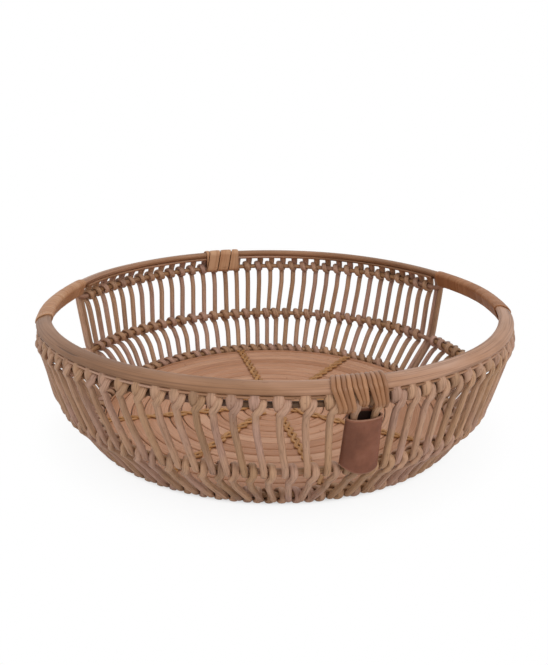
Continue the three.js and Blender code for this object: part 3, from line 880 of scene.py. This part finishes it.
def post_stops(hoop):
    """Under the rim and past the top hoop, past the middle hoop while the lean changes there, and
    down past the base hoop's outer side, round below it and in to the tail's end."""
    half_lean = (UPPER_LEAN + LOWER_LEAN) / 2
    top = [
        (hoop[0] + POST_END[0], RIM_UNDERSIDE + POST_END[1]),
        (hoop[0] + POST_SHOULDER[0], hoop[1] + POST_SHOULDER[1]),
        beside(hoop, UPPER_LEAN, REACH, -POST_BELOW_TOP),
    ]
    middle = [
        beside(MIDDLE, UPPER_LEAN, REACH, POST_BEND_HALF),
        beside(MIDDLE, half_lean, REACH + POST_BEND_OUT, 0.0),
        beside(MIDDLE, LOWER_LEAN, REACH, -POST_BEND_HALF),
    ]
    foot = [
        beside(BASE, LOWER_LEAN + (90 - LOWER_LEAN) * turned, out, up)
        for out, up, turned in POST_FOOT
    ]
    foot += [(BASE[0] + out, TAIL_LEVEL) for out in POST_TAIL] + [(TAIL_RADIUS, TAIL_LEVEL)]
    return [(0.0, *stop) for stop in joined(joined(top, middle), foot)]


def post(name, angle):
    """Two strands, each half a strand's width to its own side of the angle."""
    at = np.array([angle])
    runs = []
    for side in (-1, 1):
        points = led_round(at, post_stops(top_hoop_at(at)), -side * POST_HALF)
        path = smooth_run(points.transpose(1, 0, 2), steps=6)[0]
        section = outline(STRAND_ROD, STRAND_ROD, around=14)
        tone = 0.5 + side * POST_CONTRAST
        grain_shift = chance.uniform(0, 1, 3)
        run = carried_run(path, round_the_tray(path), section, tone, shift=grain_shift)
        runs.append(run)
    make_piece(name + "_pair", runs, strand_finish, [name])


post("back_right_post", BACK_START)
post("back_left_post", LEFT_HOLE[0])
post("front_left_post", LEFT_HOLE[1])
post("front_right_post", RIGHT_HOLE[0])

# %% [markdown]
# ## Split cane
# The floor, the grips and the bindings are split cane, which keeps the vine's skin. The skin is
# smooth and a little glossy, with very fine lines along it and now and then a darker node scar
# across. One recipe serves them all, and the seams' thin cane too, each with its own colours.

# %% The cane's finish
def cane_finish(name, tints, line, roughness, lines_across, clear):
    """Fine lines and node scars over a cloudy tone. A scar is a little duller and lies lower."""
    finish = new_finish(name)
    grain = finish.attribute("grain", "Vector")
    tone = finish.attribute("tone", "Fac")
    lines = finish.noise(grain, along=12.0, across=lines_across, detail=4.0, rough=0.62)
    clouds = finish.noise(grain, along=26.0, across=110.0)
    scars = finish.noise(grain, along=210.0, across=60.0, detail=1.0).above(0.7, 0.78)
    colour = finish.ramp(tone + (clouds - 0.5) * 0.75, tints)
    colour = finish.mixed(lines.above(0.47, 0.7) * 0.5, colour, line)
    colour = finish.mixed(scars * 0.4, colour, line)
    shine = roughness + (lines - 0.5) * 0.35 + scars * 0.1
    normal = finish.bumped(lines - scars * 0.5, distance=0.00018)
    return finish.surface(colour, shine, normal, {"Coat Weight": clear, "Coat Roughness": 0.3})


floor_tints = [
    (0.1, tint(171, 120, 87)),
    (0.5, tint(190, 139, 107)),
    (0.9, tint(203, 156, 125)),
]
floor_finish = cane_finish("floor_cane", floor_tints, tint(138, 90, 60), 0.5, 900.0, 0.05)
grip_tints = [
    (0.0, tint(126, 80, 46)),
    (0.4, tint(160, 108, 70)),
    (0.7, tint(182, 132, 94)),
    (0.95, tint(196, 152, 116)),
]
grip_finish = cane_finish("grip_cane", grip_tints, tint(132, 80, 44), 0.55, 700.0, 0.05)
binding_tints = [
    (0.1, tint(128, 86, 56)),
    (0.5, tint(154, 107, 72)),
    (0.9, tint(184, 134, 96)),
]
binding_finish = cane_finish("binding_cane", binding_tints, tint(134, 84, 48), 0.36, 900.0, 0.2)
seam_tints = [
    (0.1, tint(142, 100, 60)),
    (0.5, tint(180, 128, 76)),
    (0.9, tint(192, 148, 102)),
]
seam_finish = cane_finish("seam_cane", seam_tints, tint(114, 74, 44), 0.5, 900.0, 0.05)

# %% [markdown]
# ## Floor
# The floor is one flat cane, coiled from the centre out to the base hoop. Its turns lie side by
# side with a hair of shade between them, so its section is crowned and its corners are round.
# A disc with grooves would be simpler, but only a real coil has the one line that leads inwards.

# %% Coil the floor
COIL_HOLE = 0.8
COIL_EDGE = 153.4
COIL_PITCH = 11.17
COIL_GAP = 0.6
COIL_TIP = 0.03
POINTED = 0.05
FLOOR_BOTTOM = 5.0
FLOOR_TOP = 7.9

# Turn t lies between pitch·(t − 1) and pitch·t. Both are held between the hole and the edge, so
# the cane begins and ends as a long point, and the floor is round. The first two turns are so
# small that they need fewer places.
coil_turns = (COIL_EDGE - COIL_HOLE) / COIL_PITCH + 1 - COIL_TIP
turns = np.concatenate([np.linspace(COIL_TIP, 2, 120)[:-1], np.linspace(2, coil_turns, 1300)])
near = np.maximum(COIL_HOLE + COIL_PITCH * (turns - 1), COIL_HOLE)
far = np.minimum(COIL_HOLE + COIL_PITCH * turns, COIL_EDGE)
coil_width = COIL_PITCH - COIL_GAP
coil_tone = 0.5 + 0.22 * np.sin(turns * 2.1) + 0.16 * np.sin(turns * 7.7 + 1.0)
coil_run = ring_run(
    turns * 360,
    (near + far) / 2 + wander(turns * 360, 0.1, seed=9),
    (FLOOR_TOP + FLOOR_BOTTOM) / 2,
    outline(coil_width, FLOOR_TOP - FLOOR_BOTTOM, around=20, power=2.8),
    coil_tone[:, None],
    closed=False,
    wide=np.maximum(far - near - COIL_GAP, POINTED) / coil_width,
)
make_piece("floor_coil_cane", [coil_run], floor_finish, ["floor_coil"])

# %% [markdown]
# ## Seams
# A thin cane is braided back and forth over the coil in eight places, and holds its turns
# together. It is made as two zigzags that weave over and under each other.

# %% Sew the floor's seams
SEAMS = 8
SEAM_FIRST = 8.0
SEAM_INNER = 20.0
SEAM_OUTER = 151.0
SEAM_SWING = 3.1
SEAM_STITCHES = 12
SEAM_LEVEL = 8.9
SEAM_WEAVE = 0.55
SEAM_CANE = (1.9, 3.3)


def seam(number):
    """Two zigzags that cross in the middle of each stitch: the side swaps as a triangle wave, and
    a sine of the same stitches says which of the two is on top."""
    angle = SEAM_FIRST + 360 / SEAMS * (number - 1)
    share = np.linspace(0, 1, SEAM_STITCHES * 4 + 1)
    stitch = share * SEAM_STITCHES
    radius = SEAM_INNER + (SEAM_OUTER - SEAM_INNER) * share
    zigzag = 2 * np.abs(np.mod(stitch, 2) - 1) - 1
    runs = []
    for side in (-1, 1):
        level = SEAM_LEVEL + side * SEAM_WEAVE * np.sin(np.pi * stitch)
        turned = angle + np.degrees(side * SEAM_SWING * zigzag / radius)
        path = smooth_run(placed(turned, radius, level)[None], steps=3)[0]
        upright = np.broadcast_to([0.0, 0.0, 1.0], path.shape)
        section = outline(*SEAM_CANE, around=12, power=2.4)
        grain_shift = chance.uniform(0, 1, 3)
        tone = chance.uniform(0.3, 0.7)
        runs.append(carried_run(path, upright, section, tone, shift=grain_shift))
    node = f"floor_seam_{number}"
    make_piece(node + "_cane", runs, seam_finish, [node])


for number in range(1, SEAMS + 1):
    seam(number)

# %% [markdown]
# ## Grips
# At each hand hole a wide flat cane is wound round the rim and the top hoop together, from post to
# post. Pulled tight, it spans from one to the other in a straight line, so its outline is the
# hull of an oval and a circle. The hull comes from the two shapes' support points: in each
# direction, the shape that reaches further gives the point.

# %% Find the outline that a winding lies on
DIRECTIONS = 360
RIM_SHAPE = (RIM, RIM_WIDTH / 2, RIM_THICKNESS / 2, RIM_DROP)


def hull_outline(parts, grow, places):
    """parts is a list of (centre, half width, half thickness, drop), and each half grows by grow.
    In the direction n an oval with the axes w and t reaches c·n + sqrt((a n·w)² + (b n·t)²), and
    the furthest one is taken. The points are then spaced evenly along the outline."""
    turn = 2 * np.pi * np.arange(DIRECTIONS) / DIRECTIONS
    way = np.stack([np.cos(turn), np.sin(turn)], -1)
    reach, point = [], []
    for centre, half_width, half_thickness, drop in parts:
        tilt = math.radians(drop)
        wide = np.array([math.cos(tilt), -math.sin(tilt)])
        thin = np.array([math.sin(tilt), math.cos(tilt)])
        a, b = half_width + grow, half_thickness + grow
        across, through = way @ wide, way @ thin
        size = np.hypot(a * across, b * through)
        tip = a * a * across[:, None] * wide + b * b * through[:, None] * thin
        point.append(np.array(centre) + tip / size[:, None])
        reach.append(way @ np.array(centre) + size)
    best = np.argmax(reach, 0)
    hull = np.array(point)[best, np.arange(DIRECTIONS)]
    closed = np.concatenate([hull, hull[:1]])
    length = np.concatenate([[0], np.cumsum(np.linalg.norm(np.diff(closed, axis=0), axis=-1))])
    even = np.linspace(0, length[-1], places + 1)
    return np.stack([np.interp(even, length, closed[:, axis]) for axis in (0, 1)], -1)[:-1]


rim_outline = hull_outline([RIM_SHAPE], grow=0.0, places=64)
rim_girth = np.linalg.norm(rim_outline - np.roll(rim_outline, 1, 0), axis=-1).sum()
print("once round the rim's section:", round(float(rim_girth), 1), "mm")

# %% [markdown]
# ## Cane on an outline
# The cane goes round the hull again and again, and moves along the tray as it goes. If each
# section stood square to the slanting cane, neighbouring turns would gape on one side and
# overlap on the other. So a section's width always lies along the tray.

# %% Lay a cane on an outline
def wound_run(hull, step, middle, aside, section, wide, tone, rise=0.0):
    """Step by step round the hull. A point of the section lies along the tray by its width, and
    off the hull by its thickness, in the direction (height part, −radius part) of the way ahead.
    The winding follows the rim's own wandering, and rise lifts a part of it."""
    section = section[::-1]
    ahead = unit(np.roll(hull, -1, 0) - np.roll(hull, 1, 0))
    off = np.stack([ahead[:, 1], -ahead[:, 0]], -1)[step % len(hull)]
    at = hull[step % len(hull)]
    across = section[:, 0] * np.reshape(wide, (-1, 1))
    angle = middle + np.degrees((aside[:, None] + across) / RIM[0])
    out, up = rim_off(angle)
    radius = at[:, :1] + off[:, :1] * section[:, 1] + out
    height = at[:, 1:] + off[:, 1:] * section[:, 1] + up + np.reshape(rise, (-1, 1))
    length = step[:, None] * np.linalg.norm(hull[1] - hull[0])
    turn = np.floor(step / len(hull))[:, None] * section[:, 0].max() * 2
    grain = np.stack(np.broadcast_arrays(length, across + turn, section[:, 1]), -1) * MM
    return placed(angle, radius, height), grain, tone, False


# %% Wind the grips
WRAP_PLACES = 64
WRAP_CONTRAST = 0.07
# From the rim to the cane's middle, in thicknesses of the cane
WRAP_STAND_OFF = 0.7
GRIP_CANE = (15.7, 1.0)
GRIP_PITCH = 15.0
GRIP_INSET = 1.5


def flat_wrap(name, node, start, length, wound, cane, spacing, shade, power):
    """A flat cane is wound round the rim and one more shape. In turn t it reaches from
    pitch·(t − 1) to its own width beyond that. In the first and the last turn one of its edges
    stays where it is, so the cane tapers there and the winding ends square."""
    hull = hull_outline([RIM_SHAPE, wound], cane[1] * WRAP_STAND_OFF, WRAP_PLACES)
    hull = np.roll(hull, WRAP_PLACES // 4, 0)
    count = round((length - cane[0]) / spacing) + 2
    pitch = (length - cane[0]) / (count - 2)
    step = np.arange(count * WRAP_PLACES + 1)
    turn = step / WRAP_PLACES
    near = np.maximum(pitch * (turn - 1), 0)
    far = np.minimum(pitch * (turn - 1) + cane[0], length)
    wide = np.maximum(far - near, POINTED) / cane[0]
    tone = shade + WRAP_CONTRAST * np.sin(turn[:, None] * 1.9 + start)
    section = outline(*cane, around=20, power=power)
    run = wound_run(hull, step, start, (near + far) / 2, section, wide, tone)
    make_piece(name, [run], grip_finish, [node])


def grip(side, hole, shade):
    """A winding from just inside one post to just inside the other."""
    start = hole[0] + GRIP_INSET
    length = math.radians(hole[1] - GRIP_INSET - start) * RIM[0]
    wound = ((GRIP_RADIUS, GRIP_LEVEL), HOOP_ROD / 2, HOOP_ROD / 2, 0.0)
    name, node = side + "_grip_cane", side + "_grip_wrap"
    flat_wrap(name, node, start, length, wound, GRIP_CANE, GRIP_PITCH, shade, power=12.0)


grip("left", LEFT_HOLE, shade=0.72)
grip("right", RIGHT_HOLE, shade=0.36)

# %% [markdown]
# ## Back binding
# The hoop's top is tied to the rim in two places. At the back it is done as on the grips, with
# three turns of a flat cane. There the strands' own turns sit on the hoop, so the shape that is
# wound in with the rim is wider than the hoop alone.

# %% Wind the back binding
BACK_CANE = (11.6, 1.6)
BACK_BINDING_PITCH = 12.3
BACK_BINDING_LENGTH = 36.5
BACK_BINDING_RIB = 19.5
BACK_BINDING_SHIFT = 3.4
BACK_BINDING_LEVEL = BACK_LEVEL + 1.0
BACK_TURNS_WIDER = (4.4, 0.7)

back_middle = BACK_START + BACK_PITCH * BACK_BINDING_RIB + BACK_BINDING_SHIFT
half_turned = math.degrees(BACK_BINDING_LENGTH / RIM[0] / 2)
back_halves = [HOOP_ROD / 2 + wider for wider in BACK_TURNS_WIDER]
flat_wrap(
    "back_binding_cane",
    "back_binding",
    back_middle - half_turned,
    BACK_BINDING_LENGTH,
    ((TOP_RADIUS, BACK_BINDING_LEVEL), *back_halves, 0.0),
    BACK_CANE,
    BACK_BINDING_PITCH,
    shade=0.86,
    power=3.0,
)

# %% [markdown]
# ## Front binding
# In front eleven turns of a narrow glossy cane lie side by side on the rim. Below it the ribs are
# in the way, so the turns gather in three bundles between them. It is still one cane on one hull.
# What changes is how far along the tray each point lies: a blend of the even spacing on the rim
# and the bundle's own place below.

# %% Gather the turns in bundles
BUNDLES = (4, 3, 4)
BUNDLE_PLACES = (-11.0, -0.2, 12.0)
BUNDLE_CANES = (2.95, 2.3, 2.55)
BUNDLE_RISES = (1.2, 4.8, 2.0)
BUNDLE_OVERLAP = 1.08

below = np.arange(sum(BUNDLES) * 2) / 2 + 0.5


def gathered():
    """The turns of a bundle stand side by side, evenly about the bundle's own place."""
    goals = []
    for place, bundle, width in zip(BUNDLE_PLACES, BUNDLES, BUNDLE_CANES):
        goals.append(place + (np.arange(bundle) - (bundle - 1) / 2) * width)
    return np.concatenate(goals)


def kept_below(turn, values):
    """Each turn's own value while it is in front of the hoop and below it, and an even change
    from one turn's to the next one's while the cane is behind."""
    return np.interp(turn, below, np.repeat(values, 2))


print("turns below the hoop, in mm aside:", np.round(gathered(), 1))

# %% Wind the front binding
BINDING_PLACES = 48
BINDING_CANE = (3.4, 2.5)
BINDING_SPACING = 3.5
BINDING_FIRST = 0.3
BINDING_SWAY = 1.6
BINDING_LEVEL = FRONT_LEVEL - 1.5
BINDING_TOP = RIM[1] + 1.5
BINDING_GATHERED = BINDING_LEVEL - 1.0
BINDING_WIDER = (4.6, 2.7)
BINDING_RIB = 21.5
BINDING_SHIFT = -1.1

front_middle = LEFT_HOLE[1] + FRONT_PITCH * BINDING_RIB + BINDING_SHIFT


def front_binding():
    """The cane goes down in front and up behind. Its place aside is spread·(1 − low) + goal·low,
    where low goes from 0 on the rim to 1 below the hoop. There each bundle is pulled up by its own
    rise. On the rim the cane also sways, from the right inside to the left outside."""
    count = sum(BUNDLES)
    halves = [HOOP_ROD / 2 + wider for wider in BINDING_WIDER]
    wound = ((TOP_RADIUS, BINDING_LEVEL), *halves, 0.0)
    hull = hull_outline([RIM_SHAPE, wound], BINDING_CANE[1] / 2, BINDING_PLACES)
    hull = np.roll(hull, BINDING_PLACES // 4, 0)[::-1]
    step = np.arange(count * BINDING_PLACES + 1)
    turn = step / BINDING_PLACES
    goal = kept_below(turn, gathered())
    width = kept_below(turn, np.repeat(BUNDLE_CANES, BUNDLES))
    rise = kept_below(turn, np.repeat(BUNDLE_RISES, BUNDLES))
    at = hull[step % BINDING_PLACES]
    low = np.clip((BINDING_TOP - at[:, 1]) / (BINDING_TOP - BINDING_GATHERED), 0, 1)
    sway = BINDING_SWAY * (RIM[0] - at[:, 0]) / (RIM_WIDTH / 2)
    spread = (turn - count / 2 - BINDING_FIRST) * BINDING_SPACING + sway
    aside = spread * (1 - low) + goal * low
    narrow = 1 - low * (1 - width * BUNDLE_OVERLAP / BINDING_CANE[0])
    tone = 0.5 + 0.22 * np.sin(np.floor(turn)[:, None] * 2.4)
    section = outline(*BINDING_CANE, around=14, power=2.2)
    run = wound_run(hull, step, front_middle, aside, section, narrow, tone, rise * low)
    make_piece("front_binding_cane", [run], binding_finish, ["front_binding"])


front_binding()

# %% [markdown]
# ## Leather sleeve
# A strip of vegetable-tanned leather is closed round two ribs below the front binding, for a label.
# It is left bare here. The hide has a fine pebble, a few creases, and edges that wear pale, and
# painted shade darkens the inside of the sleeve and its left side. The tone that each cane carries
# says here which of these it is.

# %% The leather's finish
def leather_finish():
    """Cloudy tints with creases, painted shade inside and on the left, pale worn edges, and a pebble
    of cells.
    """
    finish = new_finish("tanned_leather")
    grain = finish.attribute("grain", "Vector")
    edge = finish.attribute("tone", "Fac")
    cells = {"feature": "DISTANCE_TO_EDGE"}
    pebble = finish.value("ShaderNodeTexVoronoi", cells, {"Vector": grain, "Scale": 1300.0})
    clouds = finish.noise(grain, along=60.0, across=60.0, detail=4.0, rough=0.6)
    creases = finish.noise(grain, along=420.0, across=70.0)
    tints = [(0.3, tint(112, 66, 46)), (0.5, tint(134, 82, 60)), (0.72, tint(150, 98, 76))]
    colour = finish.ramp(clouds, tints)
    colour = finish.mixed(creases.above(0.6, 0.75) * 0.3, colour, tint(92, 54, 38))
    colour = finish.mixed(edge.above(0.75, 1.0) * 0.8, colour, tint(186, 138, 112))
    # Painted shade: where the tone is low, on the sleeve's left side and inside, the leather darkens.
    colour = finish.mixed((1 - edge.above(0.4, 0.58)) * 0.5, colour, tint(84, 46, 28))
    # Painted shade: inside the sleeve, where the tone is 0, the leather is nearly black.
    colour = finish.mixed((1 - edge.above(0.1, 0.3)) * 0.9, colour, tint(30, 19, 14))
    domes = pebble.above(0.0, 0.12)
    normal = finish.bumped(domes + clouds * 0.6, distance=0.00012)
    return finish.surface(colour, 0.62 - domes * 0.08, normal)


sleeve_finish = leather_finish()

# %% [markdown]
# ## Shape of the sleeve
# Seen from above the sleeve is a flat loop, and it leans with the wall. Its lower end is open and
# a little wider. A cloth simulation would crumple a strip this stiff and short, so the loop is
# drawn up the wall row by row, and then down again inside, one leather's thickness further in.

# %% Fold the sleeve
SLEEVE_BOTTOM = 40.2
SLEEVE_TOP = 84.2
SLEEVE_HALF_SIDE = 13.2
SLEEVE_TOP_DEPTH = 4.8
SLEEVE_BOTTOM_DEPTH = 6.6
SLEEVE_BOTTOM_WIDER = 0.08
SLEEVE_BOTTOM_ASIDE = 1.0
SLEEVE_FRONT_LOWER = 0.96
SLEEVE_BACK_HIGHER = 3.6
SLEEVE_CORNERS_UP = 4.0
SLEEVE_SLANT = 2.0
SLEEVE_TURNED = 0.75
SLEEVE_TONE = 0.54
# How much paler the sleeve's right side is than its left: painted shade on the left fold.
SLEEVE_SHADE_ASIDE = 0.12
SLEEVE_WORN = 26
SLEEVE_GRAIN_UP = 0.04
LEATHER = 1.5
SLEEVE_AROUND = 96
SLEEVE_ROWS = 24


def sleeve():
    """One parameter goes round a superellipse of the sleeve's width and depth. The other goes up
    outside and down inside. The edges dip in front and rise at the back. The lower end slants, and
    its corners are lifted by the square of how far aside they are."""
    loop = outline(2 * SLEEVE_HALF_SIDE, 2 * SLEEVE_TOP_DEPTH, SLEEVE_AROUND, power=2.4)
    outward = unit(np.gradient(np.concatenate([loop[-1:], loop, loop[:1]]), axis=0)[1:-1])
    outward = np.stack([outward[:, 1], -outward[:, 0]], -1)
    share = np.linspace(0, 1, SLEEVE_ROWS)
    rise = np.concatenate([share, share[::-1]])
    inside = np.concatenate([np.zeros(SLEEVE_ROWS), np.full(SLEEVE_ROWS, LEATHER)])
    aside = loop[:, None, 0] - outward[:, None, 0] * inside
    bulge = 1 + (SLEEVE_BOTTOM_DEPTH / SLEEVE_TOP_DEPTH - 1) * (1 - rise)
    depth = (loop[:, None, 1] - outward[:, None, 1] * inside) * bulge
    share_aside = aside / SLEEVE_HALF_SIDE
    central = 1 - share_aside**2
    height = SLEEVE_BOTTOM + (SLEEVE_TOP - SLEEVE_BOTTOM) * rise
    height = height - SLEEVE_FRONT_LOWER * central * np.sign(depth)
    height += (SLEEVE_CORNERS_UP * share_aside**2 - SLEEVE_SLANT * share_aside) * (1 - rise)
    height += SLEEVE_BACK_HIGHER * rise**4 * central * (depth < 0)
    wall = (height - MIDDLE[1]) * math.tan(math.radians(UPPER_LEAN))
    radius = MIDDLE[0] + REACH + wall + depth
    wider = 1 + SLEEVE_BOTTOM_WIDER * (1 - rise)
    moved_aside = aside * wider + SLEEVE_BOTTOM_ASIDE * (1 - rise)
    turned = front_middle + SLEEVE_TURNED + np.degrees(moved_aside / radius)
    sections = placed(turned, radius, height)[:, ::-1]
    around = np.cumsum(np.linalg.norm(np.diff(loop, axis=0, prepend=loop[-1:]), axis=-1))
    parts = np.broadcast_arrays(around[:, None] * MM, rise * SLEEVE_GRAIN_UP, inside * MM)
    grain = np.stack(parts, -1)[:, ::-1]
    worn = np.clip(1 - np.minimum(rise, 1 - rise) * SLEEVE_WORN, 0, 1)
    # Outside, the tone falls from right to left, painted shade on the left fold; inside it is 0,
    # painted shade. Worn edges are pale.
    outside = (SLEEVE_TONE + SLEEVE_SHADE_ASIDE * share_aside) * (inside < LEATHER / 2)
    tone = np.maximum(outside, worn)[:, ::-1]
    run = (sections, grain, tone, True)
    make_piece("leather_sleeve_hide", [run], sleeve_finish, ["leather_sleeve"])


sleeve()

# %% [markdown]
# ## Ground
# The tray stands on a wide sheet of pale paper, which takes its shadow. Past the tray's foot the
# paper turns to plain white for the camera, most of it at once and the rest more slowly, so that
# no edge and no horizon show.

# %% Lay the paper under the tray
FLOOR_HALF = 6.0
WHITE = (1.0, 1.0, 1.0, 1.0)
PAPER = (0.86, 0.86, 0.86, 1.0)
FADE_START = 0.15
FADE_END = 0.165
LAST_FADE_END = 0.22
LAST_FADE = 0.1


def paper_finish():
    """Paper near the tray, and plain white past it where the camera looks. The two fades are soft
    steps of the distance from the tray's middle, in metres."""
    finish = new_finish("pale_floor")
    place = finish.value("ShaderNodeTexCoord", None, None, "Object")
    distance = finish.value("ShaderNodeVectorMath", {"operation": "LENGTH"}, {0: place}, "Value")
    seen = finish.value("ShaderNodeLightPath", None, None, "Is Camera Ray")
    fade = distance.above(FADE_START, FADE_END) * (1 - LAST_FADE)
    far = (fade + distance.above(FADE_END, LAST_FADE_END) * LAST_FADE) * seen
    paper = finish.value("ShaderNodeBsdfDiffuse", None, {"Color": PAPER})
    white = finish.value("ShaderNodeEmission", None, {"Color": WHITE})
    shader = finish.value("ShaderNodeMixShader", None, {0: far, 1: paper, 2: white})
    finish.node("ShaderNodeOutputMaterial", None, {"Surface": shader})
    return finish.owner


floor_corners = [(-FLOOR_HALF, -FLOOR_HALF, 0), (FLOOR_HALF, -FLOOR_HALF, 0)]
floor_corners += [(FLOOR_HALF, FLOOR_HALF, 0), (-FLOOR_HALF, FLOOR_HALF, 0)]
floor_mesh = bpy.data.meshes.new("floor")
floor_mesh.from_pydata(floor_corners, [], [(0, 1, 2, 3)])
floor_mesh.materials.append(paper_finish())
floor = bpy.data.objects.new("floor", floor_mesh)
bpy.context.scene.collection.objects.link(floor)
print("floor:", 2 * FLOOR_HALF, "m across")

# %% [markdown]
# ## Light
# A wide soft lamp hangs in front on the right, a weaker one fills from the left, and a third hangs
# above and a little behind. The world gives even light from all round, and what the camera and
# shiny things see of it is plain white. Together they are at the level at which a colour renders
# about as it is written.

# %% Hang the lamps
LOOKED_AT = 0.05


def lamp(name, place, size, power):
    """A square area lamp that looks at a point on the tray's axis: its own −Z points there."""
    light = bpy.data.lights.new(name, "AREA")
    light.shape = "SQUARE"
    light.size = size
    light.energy = power
    holder = bpy.data.objects.new(name, light)
    bpy.context.scene.collection.objects.link(holder)
    holder.location = place
    x, y, z = place
    holder.rotation_euler = (math.atan2(math.hypot(x, y), z - LOOKED_AT), 0, math.atan2(x, -y))
    print(name, power, "W")


lamp("key_lamp", place=(0.7, -1.15, 1.0), size=1.2, power=9.5)
lamp("fill_lamp", place=(-1.2, -0.6, 0.8), size=1.2, power=3.0)
lamp("top_lamp", place=(0.1, 0.4, 1.6), size=1.4, power=4.0)

# %% Light the world
WORLD_LEVEL = 0.55

world = bpy.data.worlds.new("studio")
bpy.context.scene.world = world
sky = Finish(world)
path = sky.node("ShaderNodeLightPath")
plain = Value(sky, path.outputs["Is Camera Ray"]) + Value(sky, path.outputs["Is Glossy Ray"])
plain = plain + Value(sky, path.outputs["Is Transmission Ray"])
soft = sky.value("ShaderNodeBackground", None, {"Color": WHITE, "Strength": WORLD_LEVEL})
white = sky.value("ShaderNodeBackground", None, {"Color": WHITE, "Strength": 1.0})
backdrop = sky.value("ShaderNodeMixShader", None, {0: plain, 1: soft, 2: white})
sky.node("ShaderNodeOutputWorld", None, {"Surface": backdrop})
bpy.context.scene.view_settings.view_transform = "Standard"
print("world's level:", WORLD_LEVEL)
